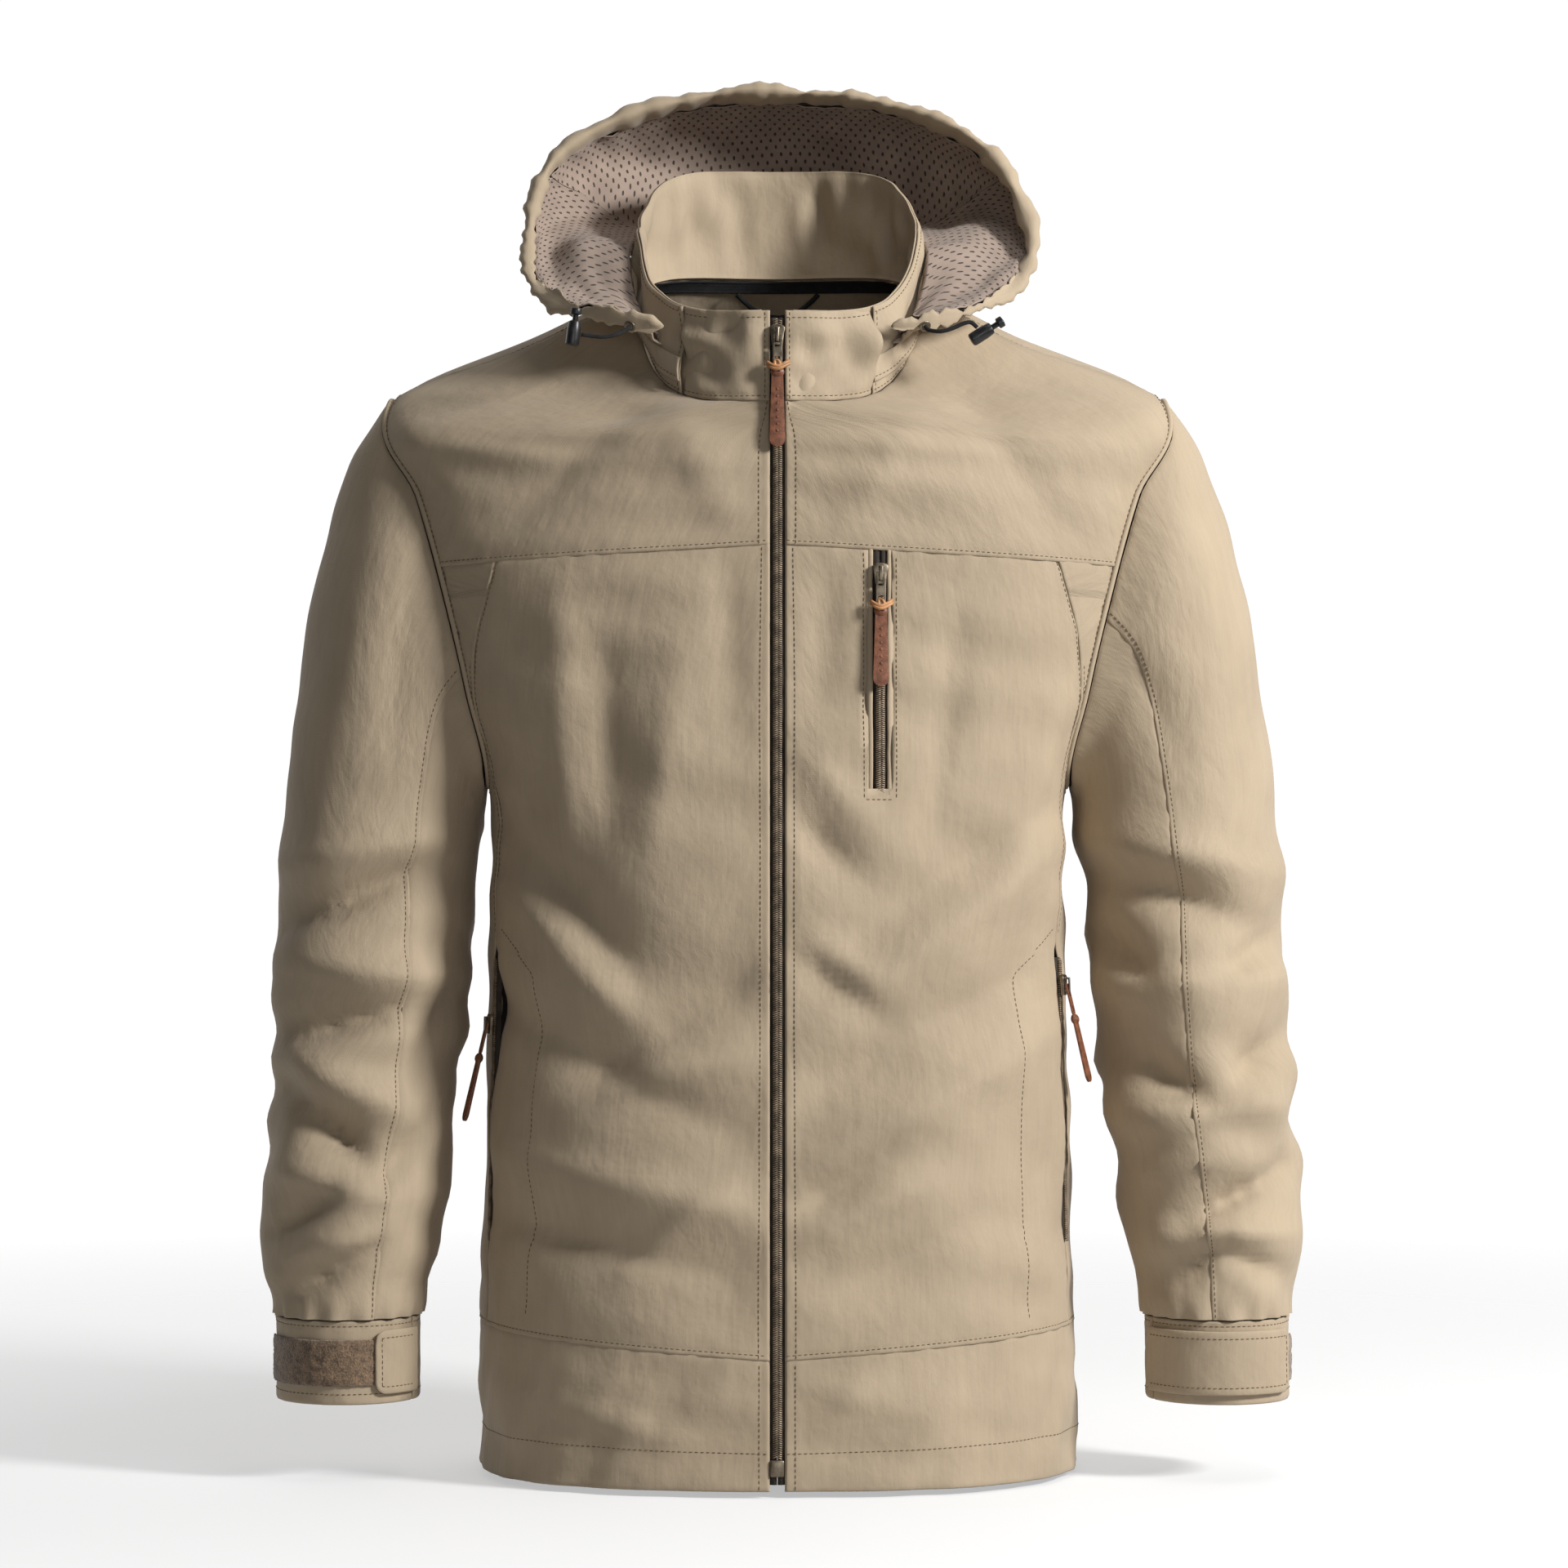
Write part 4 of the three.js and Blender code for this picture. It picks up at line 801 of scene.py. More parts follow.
class Panel:
    """One cut piece of cloth: a grid over a pattern, bent to its skin, with a shaped edge on each side."""

    def __init__(
        self, name, pattern, skin, edges, cell=None, pucker=0.0005, trim=None, flip=False, seed=1, cut=None
    ):
        self.name = name
        cell = cell or sizes().cell
        fine = np.linspace(0, 1, 41)
        across = skin(*pattern(fine, 0.5 + 0 * fine))
        upward = skin(*pattern(0.5 + 0 * fine, fine))
        self.wide = np.linalg.norm(np.diff(across, axis=0), axis=1).sum()
        self.tall = np.linalg.norm(np.diff(upward, axis=0), axis=1).sum()
        self.s = stations(self.wide, cell)
        self.t = stations(self.tall, cell)
        s, t = np.meshgrid(self.s, self.t, indexing="ij")
        a, b = pattern(s, t)
        self.dead = np.zeros(s.shape, bool)
        rim = np.full(s.shape, 1.0)
        for mend in (trim, cut):
            if mend:
                a, b, inside, away = mend(a, b)
                self.dead |= inside
                rim = np.minimum(rim, away)
        points = skin(a, b)
        if flip:
            points = points * (-1, 1, 1)
        along = np.linalg.norm(np.diff(points, axis=0, prepend=points[:1]), axis=-1).cumsum(axis=0)
        up = np.linalg.norm(np.diff(points, axis=1, prepend=points[:, :1]), axis=-1).cumsum(axis=1)
        normal = grid_normals(points)
        reach = {"left": along, "right": along[-1:] - along, "low": up, "high": up[:, -1:] - up}
        runs = {"left": up, "right": up, "low": along, "high": along}
        lift = 0 * along
        near = rim
        for number, (side, kind) in enumerate(edges.items()):
            if side == "rim":
                continue
            lift = lift + EDGES[kind](reach[side])
            if kind in ("over", "under"):
                near = np.minimum(near, reach[side])
                lift = lift + pucker * crimp(runs[side], seed * 7 + number) * np.exp(-reach[side] / 0.009)
        if "rim" in edges:
            lift = lift + EDGES[edges["rim"]](rim)
        self.points = points + normal * lift[..., None]
        self.normal = grid_normals(self.points)
        # seam mask: painted shade beside the seams in the cloth's colour, and the fall-off of the cuff patch's pile
        self.seam = np.exp(-near / 0.0022)
        self.uv = np.stack([along - along[-1:] / 2, up], -1)

    def object(self, finish_name="khaki", inner="inside", thick=None):
        """The panel as an object with a wall and a lined inner face; the default inside finish there is dark, painted
        shade.
        """
        bm, number = grid_bmesh(self.points)
        lay_uv(bm, number, self.uv)
        # the seam layer carries the painted-shade mask to the cloth material
        seam = bm.verts.layers.float.new("seam")
        dark, dead = self.seam.reshape(-1), self.dead.reshape(-1)
        for vert in bm.verts:
            vert[seam] = dark[vert[number]]
        gone = [face for face in bm.faces if all(dead[vert[number]] for vert in face.verts)]
        bmesh.ops.delete(bm, geom=gone, context="FACES")
        self.area = sum(face.calc_area() for face in bm.faces)
        made = object_of(self.name, bm, finish_name)
        made.data.materials.append(finish(inner))
        return wall(made, thick or sizes().cloth, inner_slot=1)

    def line(self, side, distance=SEAM_ROW):
        """A line of points and normals that runs at a distance inside one edge."""
        if side in ("left", "right"):
            k = np.argmin(np.abs((self.s if side == "left" else 1 - self.s) * self.wide - distance))
            return self.points[k], self.normal[k]
        k = np.argmin(np.abs((self.t if side == "low" else 1 - self.t) * self.tall - distance))
        keep = ~self.dead[:, k]
        return self.points[:, k][keep], self.normal[:, k][keep]

    def at(self, s, t):
        """Points and normals at places in the pattern."""
        i = np.interp(s, self.s, np.arange(len(self.s)))
        k = np.interp(t, self.t, np.arange(len(self.t)))
        i0, k0 = np.minimum(i.astype(int), len(self.s) - 2), np.minimum(k.astype(int), len(self.t) - 2)
        f, g = (i - i0)[:, None], (k - k0)[:, None]

        def mix(grid):
            low = lerp(grid[i0, k0], grid[i0 + 1, k0], f)
            return lerp(low, lerp(grid[i0, k0 + 1], grid[i0 + 1, k0 + 1], f), g)

        return mix(self.points), unit(mix(self.normal))


def object_of(name, bm, finish_name):
    """A finished object from a bmesh, hung from the neck."""
    bmesh.ops.translate(bm, verts=bm.verts, vec=(0, 0, -NECK))
    mesh = bpy.data.meshes.new(name)
    bm.to_mesh(mesh)
    bm.free()
    made = bpy.data.objects.new(name, mesh)
    bpy.context.scene.collection.objects.link(made)
    mesh.materials.append(finish(finish_name))
    return made


def wall(made, thickness, offset=-1.0, inner_slot=0):
    """Gives a sheet a wall of that thickness."""
    modifier = made.modifiers.new("wall", "SOLIDIFY")
    modifier.thickness, modifier.offset, modifier.material_offset = thickness, offset, inner_slot
    return made


def settle_on(made, body, node=None, blend=None):
    """The piece rides on its body, or, given a blend, has its transform baked where it is, and stands for its frame
    node.
    """
    if blend:
        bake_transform(made)
    else:
        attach(made, body)
    if node:
        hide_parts(node)
    return made


STITCHES = {}


def sew(group, path, normal):
    """A row of stitches along a line, kept for the object of that group."""
    pitch = sizes().stitch
    step = np.linalg.norm(np.diff(path, axis=0), axis=1)
    run = np.concatenate([[0], step.cumsum()])
    if run[-1] < pitch * 2:
        return
    at = np.arange(pitch * 0.7, run[-1] - pitch * 0.5, pitch)
    place = np.stack([np.interp(at, run, path[:, k]) for k in range(3)], -1)
    ahead = np.stack([np.interp(at + 0.0005, run, path[:, k]) for k in range(3)], -1)
    out = unit(np.stack([np.interp(at, run, normal[:, k]) for k in range(3)], -1))
    STITCHES.setdefault(group, []).append((place, unit(ahead - place), out))


def stitching(group, body, blend=None):
    """All stitches of a group as one object of small rounded grains of thread."""
    j = sizes()
    bm = bmesh.new()
    for place, along, out in STITCHES.get(group, []):
        side = np.cross(along, out)
        shape = Matrix.Diagonal((j.thread, j.stitch * 0.39, j.thread, 1))
        for p, a, o, s in zip(place, along, out, side):
            turn = Matrix((s, a, o)).transposed().to_4x4()
            where = Matrix.Translation(Vector(p + o * j.thread * 0.2))
            bmesh.ops.create_icosphere(bm, subdivisions=1, radius=1.0, matrix=where @ turn @ shape)
    smooth(bm)
    made = object_of(f"stitching_{group}", bm, "thread")
    return settle_on(made, body, blend=blend)


# ---------------------------------------------------------------- small solid pieces


def clean(name, node, finish_name, body, width, angle=0.6):
    """A cleaned copy of a frame node with rounded edges, which stands for that node."""
    bm = bmesh.new()
    bm.from_mesh(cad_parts[node].data)
    bmesh.ops.translate(bm, verts=bm.verts, vec=(0, 0, NECK))
    bmesh.ops.remove_doubles(bm, verts=bm.verts, dist=2e-5)
    bmesh.ops.dissolve_limit(bm, angle_limit=0.02, verts=bm.verts, edges=bm.edges)
    sharp = [edge for edge in bm.edges if len(edge.link_faces) == 2 and edge.calc_face_angle(0) > angle]
    bmesh.ops.bevel(
        bm, geom=sharp, offset=width, affect="EDGES", segments=2, profile=0.5, material=-1, clamp_overlap=True
    )
    bmesh.ops.recalc_face_normals(bm, faces=bm.faces)
    bmesh.ops.triangulate(bm, faces=[face for face in bm.faces if len(face.verts) > 4])
    made = object_of(name, bm, finish_name)
    made.data.set_sharp_from_angle(angle=0.9)
    return settle_on(made, body, node)


def tube_bmesh(path, radius, sides=8, bm=None):
    """A round tube along a line of points, closed at both ends."""
    bm = bmesh.new() if bm is None else bm
    path = np.asarray(path, float)
    tangent = unit(np.gradient(path, axis=0))
    hint = np.array([0.0, 0.0, 1.0]) if abs(tangent[0][2]) < 0.9 else np.array([0.0, 1.0, 0.0])
    rings = []
    for point, ahead in zip(path, tangent):
        side = unit(np.cross(ahead, hint))
        hint = np.cross(side, ahead)
        turn = Matrix((side, hint, ahead)).transposed().to_4x4()
        made = bmesh.ops.create_circle(
            bm, segments=sides, radius=radius, matrix=Matrix.Translation(Vector(point)) @ turn, cap_ends=False
        )
        rings.append(list({edge for vert in made["verts"] for edge in vert.link_edges}))
    for first, second in zip(rings, rings[1:]):
        bmesh.ops.bridge_loops(bm, edges=first + second)
    bmesh.ops.holes_fill(bm, edges=rings[0] + rings[-1], sides=0)
    bmesh.ops.recalc_face_normals(bm, faces=bm.faces)
    smooth(bm)
    return bm


def smooth_path(points, count):
    """A smooth line through points."""
    points = np.asarray(points, float)
    padded = np.vstack([2 * points[0] - points[1], points, 2 * points[-1] - points[-2]])
    place = np.linspace(0, len(points) - 1, count)
    i = np.minimum(place.astype(int), len(points) - 2)
    return through(*(padded[i + k] for k in range(4)), (place - i)[:, None])


class Zip:
    """A zip's own frame: across, into the cloth, and up the zip."""

    def __init__(self, low, high, out):
        self.origin = np.asarray(low, float)
        self.up = unit(np.asarray(high, float) - self.origin)
        self.side = unit(np.cross(-np.asarray(out, float), self.up))
        self.inward = np.cross(self.up, self.side)

    def place(self, across, into, up):
        across, into, up = (np.asarray(k, float)[..., None] for k in np.broadcast_arrays(across, into, up))
        return self.origin + self.side * across + self.inward * into + self.up * up

    def matrix(self, across, into, up):
        turn = Matrix((self.side, self.inward, self.up)).transposed().to_4x4()
        return Matrix.Translation(Vector(self.place(across, into, up))) @ turn


def teeth(name, zipper, low, high, sides):
    """Interlocking coil turns: a rounded block for every turn, staggered from side to side."""
    pitch = sizes().tooth
    bm = bmesh.new()
    for mirror in sides:
        for k in range(int((high - low) / pitch)):
            up = low + (k + (0.25 if mirror > 0 else 0.75)) * pitch
            tilt = Matrix.Rotation(0.32 * mirror, 4, "Y")
            shape = Matrix.Diagonal((0.0031, 0.0016, pitch * 0.6, 1))
            bmesh.ops.create_cube(bm, size=1.0, matrix=zipper.matrix(0.00125 * mirror, 0.0002, up) @ tilt @ shape)
    bmesh.ops.bevel(bm, geom=bm.edges[:], offset=0.00022, affect="EDGES", segments=1, profile=0.5, material=-1)
    smooth(bm)
    return settle_on(object_of(name, bm, "coil"), "shell")


def add_strip(bm, zipper, across, into, up, uv=None):
    """Adds a strip of cloth, shaped across a zip and running up it, to a mesh."""
    points = zipper.place(across, into[:, None], up[None, :])
    part, number = grid_bmesh(points)
    if uv is not None:
        lay_uv(part, number, uv)
    mesh = bpy.data.meshes.new("strip")
    part.to_mesh(mesh)
    part.free()
    bm.from_mesh(mesh)
    bpy.data.meshes.remove(mesh)


def tape(name, zipper, low, high, half, sides, node):
    """Woven tape behind the teeth, with the raised edge cord that the teeth are sewn to."""
    bm = bmesh.new()
    for mirror in sides:
        across = np.array([0.0002, 0.0018, 0.003, 0.0038, 0.0052, half])[::mirror] * mirror
        into = np.array([0.0016, 0.0008, 0.0009, 0.0017, 0.0024, 0.0028])[::mirror]
        add_strip(bm, zipper, across[:, None], into, np.linspace(low, high, max(4, int((high - low) / 0.01))))
    smooth(bm)
    return settle_on(wall(object_of(name, bm, "tape"), 0.0006), "shell", node)


# ---------------------------------------------------------------- stage and cords

CORD_ROUTES = {
    LEFT: np.array([
        (90.1, -74.4, 700), (92, -78.5, 697.6), (99, -82.5, 696.4), (106, -84, 698), (113, -84.5, 701),
        (117.5, -84.5, 701.6), (121.3, -84.5, 698.5),
    ]) * MM,
    RIGHT: np.array([
        (-90.1, -74.4, 700), (-92, -78.5, 697.6), (-98, -82, 694.5), (-105, -83.5, 693), (-112, -83.5, 693.4),
        (-119, -83.5, 694.4),
    ]) * MM,
}
CORD_RADIUS = 0.0013
LAMPS = (
    ("key", 80.0, 0.5, (1.95, -1.2, 0.8)),
    ("fill", 11.0, 1.2, (0.3, -3.2, -0.1)),
    ("top", 10.0, 0.9, (0.5, -0.6, 2.2)),
)
AIM = Vector((0, 0, -0.3))


def build_stage():
    scene = bpy.context.scene
    camera = bpy.data.objects.new("camera", bpy.data.cameras.new("camera"))
    scene.collection.objects.link(camera)
    camera.data.lens, camera.data.sensor_width = 110.3, 36.0
    camera.location, camera.rotation_euler = (0.004, -3.0, -0.3065), (math.pi / 2, 0, 0)
    scene.camera = camera
    bm = bmesh.new()
    bmesh.ops.create_circle(bm, cap_ends=True, segments=96, radius=2.4)
    bmesh.ops.translate(bm, verts=bm.verts, vec=(0, 0, -0.004))
    floor = object_of("floor", bm, "khaki")
    floor.data.materials.clear()
    material, start, fill = finish_of("pale_floor", Roughness=0.9, Specular_IOR_Level=0.1)
    place = start.node("ShaderNodeTexCoord", 3)
    away = place.node("ShaderNodeVectorMath", 1, {0: place, 1: (0, 0, -NECK)}, operation="DISTANCE")
    fill("Base Color", place.noise(3.0).between((0.9, 0.9, 0.9, 1), (0.94, 0.94, 0.94, 1)))
    fill("Alpha", away.spread(0.5, 1.7, 0.55, 0.0))
    floor.data.materials.append(material)
    world = bpy.data.worlds.new("studio")
    world.use_nodes = True
    tree = world.node_tree
    _, depth, _ = Shade(tree).node("ShaderNodeTexCoord", 0).split()
    tree.links.new(depth.spread(-0.1, 0.9, 0.06, 1.02).socket, tree.nodes["Background"].inputs["Strength"])
    tree.nodes["Background"].inputs["Color"].default_value = (1.0, 1.0, 1.0, 1)
    scene.world = world
    for name, energy, size, place in LAMPS:
        lamp = bpy.data.objects.new(name, bpy.data.lights.new(name, "AREA"))
        lamp.data.energy, lamp.data.size = energy, size
        lamp.location = place
        lamp.rotation_euler = (AIM - Vector(place)).to_track_quat("-Z", "Y").to_euler()
        scene.collection.objects.link(lamp)
    scene.view_settings.view_transform = "Standard"


def build_cords():
    for side in SIDES:
        path = smooth_path(CORD_ROUTES[side], 22)
        cord = object_of(f"drawcord_{side}_cord", tube_bmesh(path, CORD_RADIUS, 10), "black_tape")
        settle_on(cord, "hood", f"drawcord_{side}")
        lock = clean(f"cord_lock_{side}_barrel", f"cord_lock_{side}", "black", "hood", 0.0005)
        body = f"cord_button_{side}"
        button = clean(f"cord_lock_{side}_button", body, "black", body, 0.0004)
        hung = path - (0, 0, NECK)


# ---------------------------------------------------------------- the body's panels

LOWER, YOKE, HEM = (0.077, 0.56), (0.56, NECK), (0.0, 0.077)
HALF_SEAM = -0.0004
SIDE_LINE = 14 * DEGREE
CHEST_X, SLOT_HALF, SLOT_LOW = 0.062, 0.0072, 0.4155
TOP_ROW, HEM_ROW = 0.0046, 0.0255
LAPPED = {"left": "over", "right": "under", "low": "over", "high": "under"}
SPANNING = {"left": "over", "right": "over", "low": "over", "high": "under"}
RIM = {"rim": "under"}
FREE = dict.fromkeys(("left", "right", "low", "high"), "free")


def on_side(side, pattern):
    """A pattern drawn for the wearer's left, or its mirror image."""

    def mirrored(s, t):
        angle, v = pattern(1 - s, t)
        return math.pi - angle, v

    return pattern if side == LEFT else mirrored


def swap(side, edges):
    """Edges named for the wearer's left panel, for either side."""
    names = {} if side == LEFT else OTHER
    return {names.get(key, key): kind for key, kind in edges.items()}


def strip_pattern(left, right, low, high, span):
    def place(s, t):
        level = lerp(span[0], span[1], t)
        angle = lerp(left(level), right(level), s)
        return angle, lerp(low(angle), high(angle), t)

    return place


def armhole_trim(angle, v):
    """Takes the armhole out of a panel: points inside it move to its edge."""
    turned = (angle + math.pi / 2) % (2 * math.pi) - math.pi / 2
    nearest = np.where(np.cos(turned) > 0, 0.0, math.pi)
    a = turned - nearest
    rho = np.hypot(a / armhole_half(np.where(nearest == 0, a, -a)), (v - ARM_LEVEL) / ARM_TALL)
    inside = rho < 1.0
    scale = np.where(inside, 1 / np.maximum(rho, 1e-6), 1.0)
    return a * scale + nearest, ARM_LEVEL + (v - ARM_LEVEL) * scale, inside, np.maximum(rho - 1, 0) * ARM_WIDE


def zip_edge(v):
    return front_angle(ZIP_EDGE, v)


def side_seam(v):
    return SIDE_LINE - angle_for(0.0002, SIDE_LINE, v)


def back_start(v):
    return SIDE_LINE + angle_for(0.0002, SIDE_LINE, v)


def pocket_gap(v):
    """The seam opens for the hand pocket's zip between two heights."""
    return HALF_SEAM + 0.0042 * np.clip((v - 0.137) / 0.004, 0, 1) * np.clip((0.318 - v) / 0.004, 0, 1)


def princess_front(v):
    return princess(v) - angle_for(pocket_gap(v), princess(v), v)


def princess_side(v):
    return princess(v) + angle_for(pocket_gap(v), princess(v), v)


def shoulder_seam(v):
    return angle_for(HALF_SEAM, 0 * v, v)


def opposite(line):
    return lambda v: math.pi - line(v)


def above(seam):
    return lambda angle: seam(angle) + HALF_SEAM


def below(seam):
    return lambda angle: seam(angle) - HALF_SEAM


def at_height(height):
    return lambda _: height


def chest_cut(angle, v):
    """Opens the chest pocket: points in the slot move to its nearer side."""
    across = body_point(angle, v)[..., 0] - CHEST_X
    inside = (np.abs(across) < SLOT_HALF) & (v > SLOT_LOW)
    floor_near = inside & (v < SLOT_LOW + 0.003) & (np.abs(across) < 0.006)
    target = np.where(across < 0, CHEST_X - SLOT_HALF, CHEST_X + SLOT_HALF)
    moved = np.where(inside & ~floor_near, front_angle(target, v), angle)
    away = np.where(v > 0.41, np.abs(np.abs(across) - SLOT_HALF), 1.0) + 0.001
    return moved, np.where(floor_near, SLOT_LOW, v), inside, away


def declare_sheet(panel):
    flat = (round(float(max(panel.wide, 1.05 * panel.area / panel.tall)), 3), round(float(panel.tall), 3))


# the default inner finish "inside" is the dark cloth that paints the shade inside the body
def panel_piece(
    panel, body, node, finish_name="khaki", inner="inside", thick=None, blend=None,
):
    """A panel as a finished piece that stands for its node."""
    made = settle_on(panel.object(finish_name, inner, thick), body, node, blend=blend)
    declare_sheet(panel)


def shell_piece(name, pattern, edges, seed, rows=("low",), inner="inside", **shape):
    """A panel of the body, with a row of stitches beside the edges in rows."""
    panel = Panel(f"{name}_cloth", pattern, body_skin, edges, seed=seed, **shape)
    panel_piece(panel, "shell", name, inner=inner)
    for side in rows:
        sew("shell", *panel.line(side))
    return panel


def sew_between(points, normal, low, high):
    """Stitches on the part of a line between two heights."""
    keep = (points[:, 2] > low) & (points[:, 2] < high)
    sew("shell", points[keep], normal[keep])


def front_stitches(panel, side):
    """The rows over a lower front: its long seam, the hand pocket's facing and the chest pocket's frame."""

    def row(x, z):
        angle = front_angle(np.abs(x), z)
        t = (z - hem_seam(angle)) / (yoke_seam(angle) - hem_seam(angle))
        height = lerp(LOWER[0], LOWER[1], t)
        s = (angle - zip_edge(height)) / (princess_front(height) - zip_edge(height))
        sew("shell", *panel.at(s if side == LEFT else 1 - s, t))

    sew_between(*panel.line(OTHER[side]), 0.36, 0.56)
    z = np.linspace(0.318, 0.098, 60)
    inset = 0.0255 + 0.003 * np.sin((z - 0.1) * 12)
    row(body_point(princess(z), z)[:, 0] - inset * np.clip((0.335 - z) / 0.03, 0, 1), z)
    start, end = body_point(princess(0.325), 0.325)[0] - 0.004, body_point(princess(0.318), 0.318)[0] - 0.0165
    row(np.linspace(start, end, 8), np.linspace(0.333, 0.318, 8))
    if side == LEFT:
        for offset in (-0.0098, 0.0098):
            row(CHEST_X + offset + 0 * z, np.linspace(0.412, 0.561, len(z)))
        row(np.linspace(0.0522, 0.0718, 10), np.full(10, 0.412))


def build_front(side, seed):
    def strip(*lines):
        return on_side(side, strip_pattern(*lines))

    edges, rows = swap(side, LAPPED), ("low", side)
    panel = shell_piece(
        f"front_panel_{side}", strip(zip_edge, princess_front, above(hem_seam), below(yoke_seam), LOWER),
        edges, seed, rows, cut=chest_cut if side == LEFT else None,
    )
    front_stitches(panel, side)
    shell_piece(
        f"front_yoke_{side}", strip(zip_edge, lambda v: -shoulder_seam(v), above(yoke_seam), at_height(NECK), YOKE),
        edges | RIM, seed + 1, rows, trim=armhole_trim,
    )
    panel = shell_piece(
        f"side_panel_{side}", strip(princess_side, side_seam, above(hem_seam), below(yoke_seam), LOWER),
        edges | RIM, seed + 2, trim=armhole_trim,
    )
    sew_between(*panel.line(side), 0.325, 0.5)
    hem = shell_piece(
        f"hem_band_{side}", strip(zip_edge, side_seam, at_height(0.0), below(hem_seam), HEM),
        edges | {"low": "free"}, seed + 3, (),
    )
    sew("shell", *hem.line("low", HEM_ROW))
    sew("shell", *hem.line(side))


def build_back():
    panel = shell_piece(
        "back_panel", strip_pattern(back_start, opposite(back_start), above(hem_seam), below(yoke_seam), LOWER),
        SPANNING | RIM, 21, trim=armhole_trim,
    )
    for side in SIDES:
        sew_between(*panel.line(side), 0.0, 0.41)
    yoke = shell_piece(
        "back_yoke", strip_pattern(shoulder_seam, opposite(shoulder_seam), above(yoke_seam), at_height(NECK), YOKE),
        SPANNING | RIM, 22, inner="khaki", trim=armhole_trim,
    )
    for side in SIDES:
        sew_between(*yoke.line(side), 0.662, NECK + 1)
    hem = shell_piece(
        "hem_band_back", strip_pattern(back_start, opposite(back_start), at_height(0.0), below(hem_seam), HEM),
        SPANNING | {"low": "free"}, 23, (),
    )
    sew("shell", *hem.line("low", HEM_ROW))


def build_armhole(side, sign):
    """The rolled seam round an armhole, and the stitches beside it."""
    turn = np.linspace(0, 2 * math.pi, 90)
    ring = armhole_point(turn)
    out = unit((ring - ring.mean(axis=0)) * (0, 1, 1))
    roll = (ring + out * 0.0004) * (sign, 1, 1) + arm_axis() * (sign * -0.0004, 1, -0.0004)
    settle_on(object_of(f"armhole_seam_{side}", tube_bmesh(roll, 0.0019), "khaki"), "shell")
    a = armhole_half(np.cos(turn)) * (1 + STITCH_OUT / ARM_WIDE) * np.cos(turn)
    v = ARM_LEVEL + ARM_TALL * (1 + STITCH_OUT / ARM_TALL) * np.sin(turn)
    sew("shell", body_skin(a if sign > 0 else math.pi - a, v), body_normal(a, v) * (sign, 1, 1))


def build_body():
    for side, seed in ((LEFT, 3), (RIGHT, 5)):
        build_front(side, seed)
    build_back()
    for side, sign in SIDES.items():
        build_armhole(side, sign)


# ---------------------------------------------------------------- collar and neck

JOIN = -49 * DEGREE
JOIN_GAP = 0.0035
BAND_TALL = 0.02


def collar_point(angle, share):
    j = sizes()
    angle, share = np.broadcast_arrays(np.asarray(angle, float), np.asarray(share, float))
    bulge = 0.0025 * np.sin(share * math.pi) * (1 - np.maximum(0, -np.sin(angle)) ** 6)
    gap = 0.0024
    front = lerp(NECK_FRONT, COLLAR_FRONT, share)
    return ring_point(
        angle, lerp(NECK, NECK + 0.038, share) + gap, front + gap, lerp(0.745, 0.811, share) + gap,
        j.neck_half + bulge, j.neck_back + bulge, front_depth(front), 2.0,
    )


def collar_share(angle, height):
    """The share of the collar's height that a height above the neck seam is."""
    return height / (collar_point(angle, 1.0)[..., 2] - collar_point(angle, 0.0)[..., 2])


def collar_skin(seed, strength, proud=0.0):
    def skin(angle, share):
        point = collar_point(angle, share)
        soft = np.sin(np.clip(share, 0, 1) * math.pi * 0.8 + 0.25)
        near_zip = np.clip(np.abs(point[..., 0]) / 0.012 - 0.5, 0, 1)
        run, rise = angle * 0.085, share * 0.05
        waves = 0.0016 * ripple(run, rise, 0.05, seed) + 0.001 * ripple(run, rise, 0.022, seed + 1)
        close = 1 - 0.66 * np.clip((share - 0.86) / 0.14, 0, 1) ** 2
        return point + level_out(point) * (strength * soft * near_zip * waves + proud * close)[..., None]

    return skin


def block(start, end, low, high):
    """A pattern between two angles and two heights."""
    return lambda s, t: (lerp(start, end, s), lerp(low, high, t) + 0 * s)


